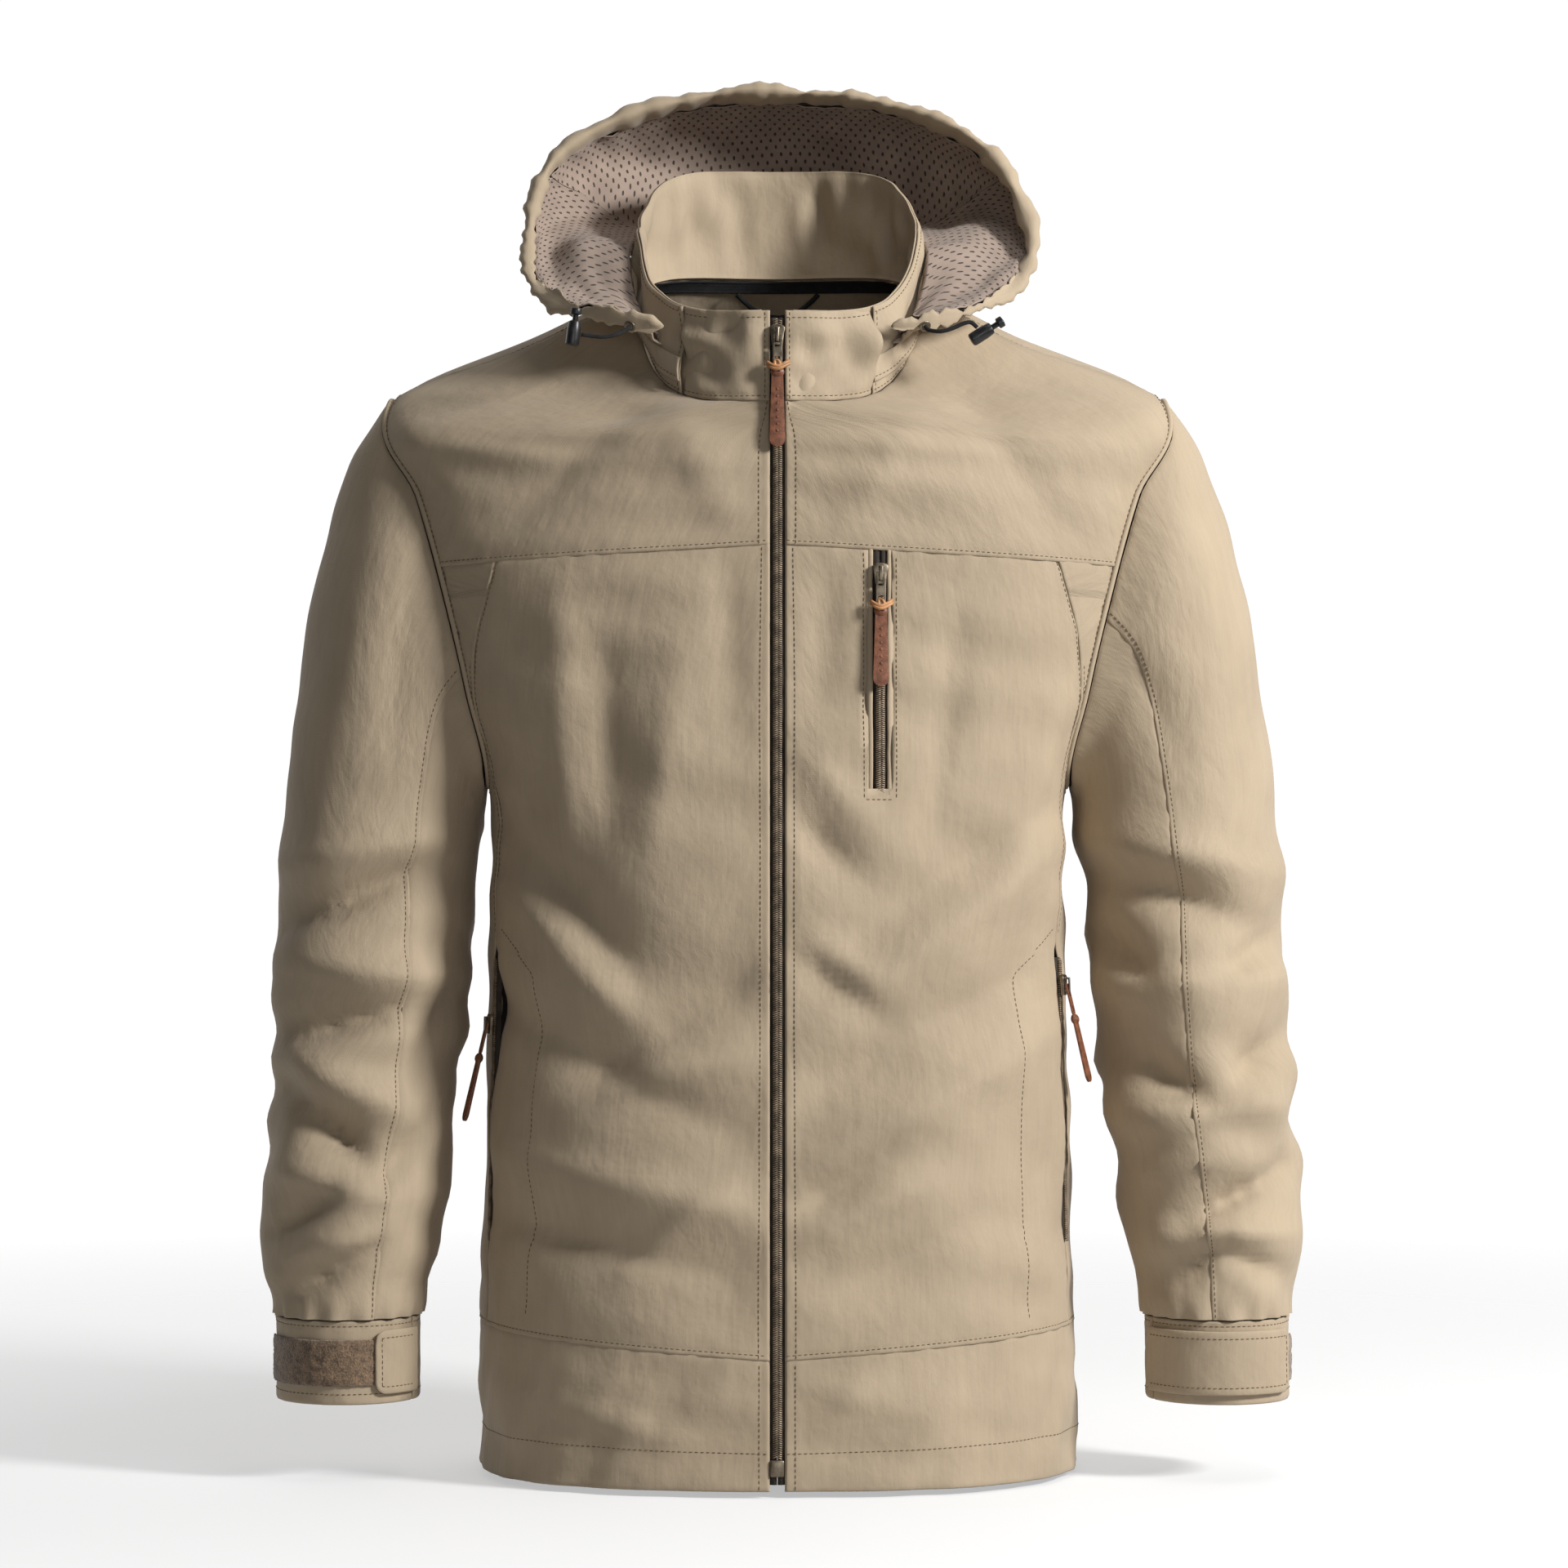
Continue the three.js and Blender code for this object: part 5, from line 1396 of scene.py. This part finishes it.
def build_collar():
    zip_start = -math.acos(ZIP_EDGE / sizes().neck_half)
    for side in SIDES:
        panel = Panel(
            f"collar_front_{side}_cloth", on_side(side, block(zip_start, JOIN - JOIN_GAP, -0.06, 1.0)),
            collar_skin(31, 2.9), swap(side, LAPPED | {"high": "free"}), cell=0.003, seed=8, pucker=0.0006,
        )
        panel_piece(panel, "shell", f"collar_front_{side}")
        for edge, distance in ((side, SEAM_ROW), ("low", SEAM_ROW), ("high", TOP_ROW)):
            sew("shell", *panel.line(edge, distance))
    panel = Panel(
        "collar_back_cloth", block(JOIN + JOIN_GAP, math.pi - JOIN - JOIN_GAP, -0.06, 1.0), collar_skin(33, 2.0),
        SPANNING | {"high": "free"}, cell=0.004, seed=9,
    )
    panel_piece(panel, "shell", "collar_back")
    for edge, distance in (("left", SEAM_ROW), ("right", SEAM_ROW), ("low", SEAM_ROW), ("high", TOP_ROW)):
        sew("shell", *panel.line(edge, distance))
    start = -math.acos(0.0098 / sizes().neck_half)
    facing = Panel(
        "collar_facing_cloth", block(start, math.pi - start, -0.05, 0.999), collar_skin(33, 1.9, -0.0034), FREE,
        cell=0.004, seed=10,
    )
    panel_piece(facing, "shell", "collar_facing", inner="khaki", thick=0.0009)

    def strip(s, t):
        angle = lerp(JOIN, math.pi - JOIN, s)
        return angle, collar_share(angle, BAND_TALL) * lerp(0.225, 1, t)

    band = Panel(
        "hood_band_cloth", strip, collar_skin(33, 1.9, 0.003), FREE | {"low": "over", "high": "under"},
        cell=0.004, seed=12,
    )
    panel_piece(band, "shell", "hood_band", inner="khaki", thick=0.0011)
    sew("shell", *band.line("low"))

    def tape_skin(angle, v):
        point = body_point(angle, v)
        return point - level_out(point) * 0.0034

    neck = Panel(
        "neck_tape_cloth", block(35 * DEGREE, 145 * DEGREE, NECK - 0.011, NECK - 0.002), tape_skin,
        {"low": "free", "high": "free"}, cell=0.004, seed=13,
    )
    settle_on(neck.object("black_tape", "black_tape", 0.0009), "shell", "neck_tape")
    clean("hanger_loop_tape", "hanger_loop", "black_tape", "shell", 0.0003, 2.0)


# ---------------------------------------------------------------- hood

BRIM = np.array([
    (68, -79, 698), (98, -72, 703), (130, -52, 713), (154, -18, 738), (157, 10, 775), (139, 31, 815), (101, 43, 845),
    (52, 48, 860), (0, 49, 864),
]) * MM
ROUND = 0.62
HOOD_BLEND = ("shell", "hood", (0.0, -0.001, 0.004), (0.0, -0.013, 0.034))
HOOD_SEAM, HOOD_END = 0.0002, 0.02
HOOD_CUTS = (
    ("right", HOOD_END, 0.3 - HOOD_SEAM), ("center", 0.3 + HOOD_SEAM, 0.7 - HOOD_SEAM),
    ("left", 0.7 + HOOD_SEAM, 1 - HOOD_END),
)


def brim_point(along):
    """Centripetal curve through the brim's points."""
    points = np.vstack([2 * BRIM[0] - BRIM[1], BRIM, 2 * BRIM[-1] - BRIM[-2]])
    place = np.clip(along, 0, 1) * (len(BRIM) - 1)
    i = np.minimum(place.astype(int), len(BRIM) - 2)
    f = (place - i)[..., None]
    a, b, c, d = (points[i + k] for k in range(4))
    d0, d1, d2 = (
        np.maximum(np.linalg.norm(q - p, axis=-1, keepdims=True), 1e-9) ** 0.5 for p, q in ((a, b), (b, c), (c, d))
    )
    t1 = ((b - a) / d0 - (c - a) / (d0 + d1) + (c - b) / d1) * d1
    t2 = ((c - b) / d1 - (d - b) / (d1 + d2) + (d - c) / d2) * d1
    return b + t1 * f + (-3 * b + 3 * c - 2 * t1 - t2) * f**2 + (2 * b - 2 * c + t1 + t2) * f**3


def hood_point(s, t):
    s, t = np.broadcast_arrays(np.asarray(s, float), np.asarray(t, float))
    along = np.where(s < 0.5, 2 * s, 2 * (1 - s))
    brim = brim_point(along)
    angle = lerp(JOIN + 4 * DEGREE, math.pi / 2, along)
    neck = collar_point(angle, collar_share(angle, BAND_TALL))
    neck = neck + level_out(neck) * 0.0028 + (0, 0, 0.0012)
    size = np.linalg.norm(brim - neck, axis=-1, keepdims=True)
    back, out = np.sin(along * math.pi / 2), np.cos(along * math.pi / 2)
    first = brim + xyz(0.3 * out * back, 0.95 * back, 0.06) * size * 0.9
    second = neck + xyz(0.75 * out, 0.85 * back, 0.12 + 0.2 * out) * size * 0.85
    u = t[..., None]
    point = brim * (1 - u) ** 3 + 3 * first * u * (1 - u) ** 2 + 3 * second * u * u * (1 - u) + neck * u**3
    return point * xyz(np.where(s < 0.5, -1.0, 1.0), 1, 1)


def to_end(s):
    """How far a place along the brim is from its nearer end."""
    return np.minimum(s, 1 - s)


def hood_wave(s, t):
    """Soft unevenness shared by the hood's cloth, its lining and its brim."""
    run, rise = s * ROUND, t * 0.12
    calm = np.clip(to_end(s) / 0.16, 0, 1)
    return calm * 0.0034 * ripple(run, rise, 0.085, 44) + calm * 0.0012 * ripple(run, rise, 0.035, 45)


def hood_normal(s, t):
    e = 0.004
    along = hood_point(np.minimum(s + e, 1), t) - hood_point(np.maximum(s - e, 0), t)
    up = hood_point(s, np.minimum(t + e, 1)) - hood_point(s, np.maximum(t - e, 0))
    return unit(np.cross(along, up))


def hood_skin(proud=0.0, strength=1.0):
    def skin(s, t):
        s, t = np.broadcast_arrays(s, t)
        run, rise = s * ROUND, t * 0.2
        gathers = 0.002 * crimp(run, 51, 0.016) + 0.0008 * crimp(run, 52, 0.009)
        gathers = gathers * np.exp(-np.maximum(t - 0.12, 0) / 0.2) * (1 + 1.2 * np.exp(-to_end(s) / 0.1))
        soft = np.sin(np.clip((t - 0.1) / 0.9, 0, 1) * math.pi)
        waves = 0.0034 * ripple(run, rise, 0.11, 41) + 0.0012 * ripple(run, rise, 0.04, 42)
        high = strength * (gathers + soft * waves) + proud + hood_wave(s, t) * np.clip((1 - t) / 0.25, 0, 1)
        return hood_point(s, t) + hood_normal(s, t) * high[..., None]

    return skin


def build_brim():
    """The gathered casing round the hood's opening, drawn tight at both ends."""
    columns, turns = 260, 16
    s = np.linspace(0.003, 0.997, columns)[:, None]
    q = np.linspace(0, 2 * math.pi, turns + 1)[None, :]
    run = s * ROUND + 0 * q
    tight = (1 + 1.1 * np.exp(-to_end(s) / 0.12)) * np.clip(to_end(s) / 0.05, 0.1, 1)
    wrinkle = tight * (0.0013 * crimp(run, 61, 0.017) + 0.0008 * crimp(run, 62, 0.008))
    shut = np.sqrt(np.clip((to_end(s) - 0.0028) / 0.014, 0.002, 1))
    t = 0.067 - (0.064 + wrinkle * 4) * shut * np.sign(np.cos(q)) * np.abs(np.cos(q)) ** 0.8
    s = s + 0 * q
    off = -0.0016 + (0.0047 + wrinkle * 1.7) * shut * np.sin(q) + hood_wave(s, np.clip(t, 0, 1))
    bm, number = grid_bmesh(hood_point(s, np.clip(t, 0, 1)) + hood_normal(s, np.clip(t, 0.004, 1)) * off[..., None])
    cloth = np.broadcast_arrays(np.arange(turns + 1)[None, :] * 0.0021, np.arange(columns)[:, None] * ROUND / columns)
    lay_uv(bm, number, np.stack(cloth, -1))
    bmesh.ops.remove_doubles(bm, verts=bm.verts, dist=2e-5)
    bmesh.ops.holes_fill(bm, edges=[edge for edge in bm.edges if edge.is_boundary], sides=0)
    bmesh.ops.recalc_face_normals(bm, faces=bm.faces)
    settle_on(object_of("hood_brim_casing", bm, "khaki"), "hood", "hood_brim")


def build_eyelet(side):
    """The metal ring that a drawcord leaves the brim by."""
    start = CORD_ROUTES[side][0]
    facing = unit(CORD_ROUTES[side][1] - start)
    bm = bmesh.new()
    turn = Vector(facing).to_track_quat("Z", "Y").to_matrix().to_4x4()
    place = Matrix.Translation(Vector(start - facing * 0.0002))
    bmesh.ops.create_circle(bm, segments=24, radius=0.0036, matrix=place @ turn)
    ring = bmesh.ops.extrude_edge_only(bm, edges=bm.edges[:])
    for item in ring["geom"]:
        if isinstance(item, bmesh.types.BMVert):
            item.co = Vector(start) + (item.co - Vector(start)) * 0.52
    smooth(bm)
    eyelet = wall(object_of(f"cord_eyelet_{side}", bm, "metal"), 0.0007, 0.0)
    rounding = eyelet.modifiers.new("rounding", "BEVEL")
    rounding.width, rounding.segments = 0.0003, 2
    settle_on(eyelet, "hood")


def build_hood():
    for name, low, high in HOOD_CUTS:
        beside = "under" if name == "center" else "over"
        panel = Panel(
            f"hood_{name}_cloth", block(low, high, 0.112, 1.012), hood_skin(),
            {"left": beside, "right": beside, "low": "under", "high": "under"}, seed=14,
        )
        panel_piece(panel, "hood", f"hood_{name}", inner="lining", blend=HOOD_BLEND)
        if name in OTHER:
            sew("hood", *panel.line(name))
        lining = Panel(
            f"hood_lining_{name}_mesh", block(max(low, 0.03), min(high, 0.97), 0.118, 1.004),
            hood_skin(-0.0042, 0.55), dict.fromkeys(FREE, "under"), seed=15, pucker=0.0008,
        )
        panel_piece(lining, "hood", f"hood_lining_{name}", "lining", "lining", 0.0008, HOOD_BLEND)
    build_brim()
    s, t = np.linspace(0.02, 0.98, 200), np.full(200, 0.14)
    sew("hood", hood_skin(0.0001)(s, t), hood_normal(s, t))
    stitching("hood", "hood", blend=HOOD_BLEND)
    for side in SIDES:
        build_eyelet(side)


# ---------------------------------------------------------------- sleeves and cuffs

TAB_START, TAB_END = 250.0, {LEFT: 118.0, RIGHT: 206.0}
TAB_TALL, TAB_CORNER = 0.039, 0.0075
CUFF_MIDDLE = (CUFF_TOP + CUFF_LOW) / 2


def build_sleeves():
    for side, sign in SIDES.items():
        body = f"sleeve_{side}"
        blend = ("shell", body, (0.212 * sign, 0.0, -0.19), (0.275 * sign, 0.0, -0.206))
        for name, start, end, beside in (
            ("upper", FRONT_SEAM[side], BACK_SEAM, "over"), ("under", BACK_SEAM, FRONT_SEAM[side] - 360, "under")
        ):
            def pattern(s, t, start=start + 0.5, end=end - 0.5):
                return DEGREE * lerp(start, end, s if sign > 0 else 1 - s), t

            panel = Panel(
                f"sleeve_{name}_{side}_cloth", pattern, sleeve_skin(side),
                {"left": beside, "right": beside, "high": "under", "low": "none"}, flip=sign < 0,
                seed=27 if sign > 0 else 25,
            )
            panel_piece(panel, body, f"sleeve_{name}_{side}", blend=blend)
            if name == "upper":
                for edge in ("left", "right"):
                    sew(body, *panel.line(edge))
        stitching(body, body, blend=blend)


def cuff_skin(side, proud, ruffle=0.0):
    def place(turn, height):
        wrinkle = ruffle * (crimp(turn * 0.045, 71, 0.03) + 0.6 * crimp(turn * 0.045 + height, 73, 0.014))
        out = proud + wrinkle * np.sin(np.clip((height - CUFF_LOW) / 0.051, 0, 1) * 2.6 + 0.3)
        lean = LEAN[side] * (1 - height / SHOULDER)
        return xyz(
            0.2675 + lean + (0.044 + out) * np.sin(turn), -0.0385 + (0.046 + out) * np.cos(turn), height + 0 * turn
        )

    return place


def build_cuffs():
    for side, sign in SIDES.items():
        sleeve, cuff, tab_body = f"sleeve_{side}", f"cuff_{side}", f"cuff_tab_{side}"

        def strip(start, end, low, high):
            return lambda s, t: (DEGREE * lerp(start, end, s if sign > 0 else 1 - s), lerp(low, high, t))

        band = Panel(
            f"cuff_band_{side}_cloth", strip(249.6, -109.6, CUFF_LOW, CUFF_TOP - 0.0002),
            cuff_skin(side, 0.0, 0.0011),
            {"low": "free", "high": "over", "left": "free", "right": "free"}, flip=sign < 0, seed=31, cell=0.0042,
        )
        panel_piece(band, sleeve, f"cuff_band_{side}")
        sew(cuff, *band.line("low", 0.0064))
        sew(cuff, *band.line("high"))
        patch = Panel(
            f"cuff_patch_{side}_pile", strip(232, 100, CUFF_MIDDLE - 0.014, CUFF_MIDDLE + 0.014),
            cuff_skin(side, 0.0016), FREE, flip=sign < 0, seed=32, cell=0.0012,
        )
        inner = np.minimum(1, -np.log(np.maximum(patch.seam, 1e-3)) / 2)
        shag = np.random.default_rng(5).uniform(-0.00015, 0.0006, patch.points.shape[:2]) * np.maximum(inner, 0.3)
        patch.points = patch.points + patch.normal * shag[..., None]
        panel_piece(patch, sleeve, f"cuff_patch_{side}", "pile", "pile", 0.0008)

        def tab_pattern(s, t):
            turn = lerp(TAB_START, TAB_END[side], s if sign > 0 else 1 - s)
            tuck = np.clip(1 - (turn - TAB_END[side]) * DEGREE * 0.046 / TAB_CORNER, 0, 1)
            narrow = 1 - (1 - np.sqrt(np.maximum(1 - tuck**2, 0))) * 2 * TAB_CORNER / TAB_TALL
            return DEGREE * turn, CUFF_MIDDLE + TAB_TALL * (t - 0.5) * narrow

        tab = Panel(
            f"cuff_tab_{side}_cloth", tab_pattern, cuff_skin(side, 0.0038, 0.0006), FREE, flip=sign < 0, seed=33,
            cell=0.0032,
        )
        panel_piece(tab, tab_body, tab_body, inner="khaki", thick=0.0019)
        for edge in ("low", "high", OTHER[side]):
            points, normal = tab.line(edge, TOP_ROW)
            sew(tab_body, points[3:-3], normal[3:-3])
        stitching(tab_body, tab_body)
        stitching(cuff, sleeve)


# ---------------------------------------------------------------- zips

THONG_WINDS = (
    (-0.0062, -0.0045, 0.0008), (-0.0035, -0.0068, -0.0012), (0.0, -0.0076, -0.0022), (0.0038, -0.0068, -0.0006),
    (0.0072, -0.0048, 0.0016),
)
THONG_KNOT = (
    (0.0012, -0.0066, -0.003), (0.0018, -0.0074, 0.0), (0.0006, -0.0068, 0.0028), (-0.0014, -0.0062, 0.003),
    (-0.0016, -0.0072, 0.0), (-0.0008, -0.0064, -0.003),
)


def thong(name, zipper, height, body):
    """The knotted thong that ties a strap to its puller."""
    bm = bmesh.new()
    for points, rise, count, radius in (
        (THONG_WINDS, 0.0, 14, 0.0011), (THONG_WINDS, 0.0016, 14, 0.0011), (THONG_KNOT, 0.0, 16, 0.001)
    ):
        path = [zipper.place(x, y, height - 0.0193 + z + rise) for x, y, z in points]
        tube_bmesh(smooth_path(path, count), radius, 8, bm)
    settle_on(object_of(name, bm, "thong"), body)


def strap_dots(name, zipper, height, body):
    """A plain raised border of dots down a strap's face."""
    bm = bmesh.new()
    for k in range(7):
        where = zipper.matrix(0.0, -0.0052, height - 0.0335 - k * 0.0042)
        bmesh.ops.create_uvsphere(
            bm, u_segments=10, v_segments=6, radius=1.0, matrix=where @ Matrix.Diagonal((0.0009, 0.00025, 0.0009, 1))
        )
    smooth(bm)
    settle_on(object_of(name, bm, "leather"), body)


def pull(kind, zipper, height):
    """A zip's slider with its puller, and the leather strap, thong and dots that hang from it."""
    name, body = f"{kind}_zip", f"{kind}_pull"
    clean(f"{name}_slider_metal", f"{name}_slider", "metal", f"{kind}_slider", 0.0005)
    clean(f"{name}_puller_metal", f"{name}_puller", "metal", body, 0.00025)
    clean(f"{name}_strap_leather", f"{name}_strap", "leather", body, 0.0004)
    thong(f"{name}_thong", zipper, height, body)
    strap_dots(f"{name}_strap_dots", zipper, height, body)


def lips(name, zipper, low, high, half, opening):
    """Two folded lips of cloth that lie beside the teeth inside a pocket's slot."""
    bm = bmesh.new()
    up = np.linspace(low, high, max(4, int((high - low) / 0.004)))
    for mirror in (-1, 1):
        across = np.array([opening, opening + 0.0004, opening + 0.0012, half])[::mirror] * mirror
        into = np.array([0.0014, 0.0003, 0.0, 0.0008])[::mirror]
        wob = 0.00025 * crimp(up, 81 + mirror, 0.02)
        uv = np.stack(np.broadcast_arrays(np.abs(across)[:, None], up[None, :]), -1)
        add_strip(bm, zipper, across[:, None] + wob[None, :], into, up, uv)
    settle_on(wall(object_of(name, bm, "khaki"), 0.0008), "shell")


def build_main_zip():
    zipper = Zip((0, -front_depth(0.0), 0), (0, -front_depth(NECK_FRONT), NECK_FRONT), (0, -1, 0))
    along = math.hypot(NECK_FRONT, sizes().hem_front - sizes().neck_front) / NECK_FRONT
    top = COLLAR_FRONT * along - 0.002
    for side, mirror in SIDES.items():
        tape(f"main_zip_tape_{side}", zipper, 0.004, top, 0.009, (mirror,), f"main_zip_{side}")
        teeth(f"main_zip_teeth_{side}", zipper, 0.0195, top - 0.001, (mirror,))
    clean("main_zip_box_metal", "main_zip_box", "metal", "shell", 0.0009)
    pull("main", zipper, 0.693 * along)


def build_chest_zip():
    low, high = (body_point(front_angle(CHEST_X, np.array(v)), np.array(v)) for v in (0.416, 0.556))
    zipper = Zip(low, high, body_normal(front_angle(CHEST_X, np.array(0.486)), 0.486, 0.1, 0.01))
    tape("chest_zip_tape", zipper, 0.0, 0.1478, 0.0102, (-1, 1), "chest_zip")
    teeth("chest_zip_teeth", zipper, 0.001, 0.139, (-1, 1))
    lips("chest_zip_lips", zipper, -0.001, 0.148, 0.0082, 0.0042)
    pull("chest", zipper, 0.1325)


def build_pocket_zips():
    for side, sign in SIDES.items():
        mirror = (sign, 1, 1)
        low, high = (body_point(princess(np.array(v)), np.array(v)) * mirror for v in (0.14, 0.315))
        zipper = Zip(low, high, body_normal(princess(np.array(0.14)), 0.2275, 0.1, 0.01) * mirror)
        name = f"pocket_zip_{side}"
        tape(f"{name}_tape", zipper, 0.0, 0.175, 0.006, (-1, 1), name)
        teeth(f"{name}_teeth", zipper, 0.001, 0.174, (-1, 1))
        clean(f"{name}_slider_metal", f"{name}_slider", "metal", f"pocket_slider_{side}", 0.0005)
        clean(f"{name}_pull_leather", f"{name}_pull", "leather", f"pocket_pull_{side}", 0.0003)


def build_bags():
    def bag_skin(angle, v):
        sag = 0.0062 + 0.0012 * ripple(angle * 0.15, v, 0.05, 91)
        return body_skin(angle, v) - body_normal(angle, v) * sag[..., None]

    def chest(s, t):
        v = lerp(0.408, 0.56, t)
        return front_angle(lerp(0.022, 0.112, s), v), v

    def hand(s, t):
        v = lerp(0.105, 0.32, t)
        return lerp(front_angle(0.03, v), -17 * DEGREE, s), v

    bags = [("chest_pocket_bag", chest, "chest_zip")]
    bags += [(f"pocket_bag_{side}", on_side(side, hand), f"pocket_zip_{side}") for side in SIDES]
    for name, pattern, held_by in bags:
        panel = Panel(f"{name}_mesh", pattern, bag_skin, FREE, cell=0.006)
        made = settle_on(panel.object("lining", "lining", 0.0008), "shell", name)


# ---------------------------------------------------------------- operators and panel


class JACKET_OT_stage(bpy.types.Operator):
    """Make the camera, floor and lights"""

    bl_idname = "jacket.stage"
    bl_label = "Stage"
    bl_options = {"REGISTER"}

    def execute(self, context):
        build_stage()
        return {"FINISHED"}


class JACKET_OT_cords(bpy.types.Operator):
    """Make the two drawcord ends with their locks"""

    bl_idname = "jacket.cords"
    bl_label = "Drawcords"
    bl_options = {"REGISTER"}

    def execute(self, context):
        build_cords()
        return {"FINISHED"}


class JACKET_OT_body(bpy.types.Operator):
    """Make the yokes, panels and hem bands"""

    bl_idname = "jacket.body"
    bl_label = "Body"
    bl_options = {"REGISTER"}

    def execute(self, context):
        build_body()
        return {"FINISHED"}


class JACKET_OT_collar(bpy.types.Operator):
    """Make the collar, its facing and the hood band"""

    bl_idname = "jacket.collar"
    bl_label = "Collar"
    bl_options = {"REGISTER"}

    def execute(self, context):
        build_collar()
        return {"FINISHED"}


class JACKET_OT_sleeves(bpy.types.Operator):
    """Make both two-piece sleeves"""

    bl_idname = "jacket.sleeves"
    bl_label = "Sleeves"
    bl_options = {"REGISTER"}

    def execute(self, context):
        build_sleeves()
        return {"FINISHED"}


class JACKET_OT_cuffs(bpy.types.Operator):
    """Make the cuffs, patches and tabs"""

    bl_idname = "jacket.cuffs"
    bl_label = "Cuffs"
    bl_options = {"REGISTER"}

    def execute(self, context):
        build_cuffs()
        return {"FINISHED"}


class JACKET_OT_hood(bpy.types.Operator):
    """Make the hood, its lining and its brim"""

    bl_idname = "jacket.hood"
    bl_label = "Hood"
    bl_options = {"REGISTER"}

    def execute(self, context):
        build_hood()
        return {"FINISHED"}


class JACKET_OT_main_zip(bpy.types.Operator):
    """Make the front zip with its pull"""

    bl_idname = "jacket.main_zip"
    bl_label = "Front zip"
    bl_options = {"REGISTER"}

    def execute(self, context):
        build_main_zip()
        return {"FINISHED"}


class JACKET_OT_chest_zip(bpy.types.Operator):
    """Make the chest pocket's zip"""

    bl_idname = "jacket.chest_zip"
    bl_label = "Chest zip"
    bl_options = {"REGISTER"}

    def execute(self, context):
        build_chest_zip()
        return {"FINISHED"}


class JACKET_OT_pocket_zips(bpy.types.Operator):
    """Make the zips of the hand pockets"""

    bl_idname = "jacket.pocket_zips"
    bl_label = "Hand pocket zips"
    bl_options = {"REGISTER"}

    def execute(self, context):
        build_pocket_zips()
        return {"FINISHED"}


class JACKET_OT_bags(bpy.types.Operator):
    """Make the three pocket bags"""

    bl_idname = "jacket.bags"
    bl_label = "Pocket bags"
    bl_options = {"REGISTER"}

    def execute(self, context):
        build_bags()
        return {"FINISHED"}


class JACKET_OT_stitches(bpy.types.Operator):
    """Make the stitches of the body"""

    bl_idname = "jacket.stitches"
    bl_label = "Stitching"
    bl_options = {"REGISTER"}

    def execute(self, context):
        stitching("shell", "shell")
        return {"FINISHED"}


OPERATORS = [
    JACKET_OT_stage, JACKET_OT_cords, JACKET_OT_body, JACKET_OT_collar, JACKET_OT_sleeves, JACKET_OT_cuffs,
    JACKET_OT_hood, JACKET_OT_main_zip, JACKET_OT_chest_zip, JACKET_OT_pocket_zips, JACKET_OT_bags,
    JACKET_OT_stitches,
]


class JACKET_PT_build(bpy.types.Panel):
    """Lists the jacket's sizes, colours and steps"""

    bl_idname = "JACKET_PT_build"
    bl_label = "Jacket"
    bl_space_type = "VIEW_3D"
    bl_region_type = "UI"
    bl_category = "Jacket"

    def draw(self, context):
        for group in (context.scene.jacket_sizes, context.scene.jacket_colours):
            box = self.layout.box()
            for name in group.__annotations__:
                box.prop(group, name)
        for step in OPERATORS:
            self.layout.operator(step.bl_idname)


CLASSES = [JacketSizes, JacketColours, *OPERATORS, JACKET_PT_build]


def register():
    for item in CLASSES:
        bpy.utils.register_class(item)
    bpy.types.Scene.jacket_sizes = bpy.props.PointerProperty(type=JacketSizes)
    bpy.types.Scene.jacket_colours = bpy.props.PointerProperty(type=JacketColours)


def unregister():
    del bpy.types.Scene.jacket_colours
    del bpy.types.Scene.jacket_sizes
    for item in reversed(CLASSES):
        bpy.utils.unregister_class(item)


def main():
    register()
    for step in OPERATORS:
        getattr(bpy.ops.jacket, step.bl_idname.split(".")[1])()


if __name__ == "__main__":
    main()
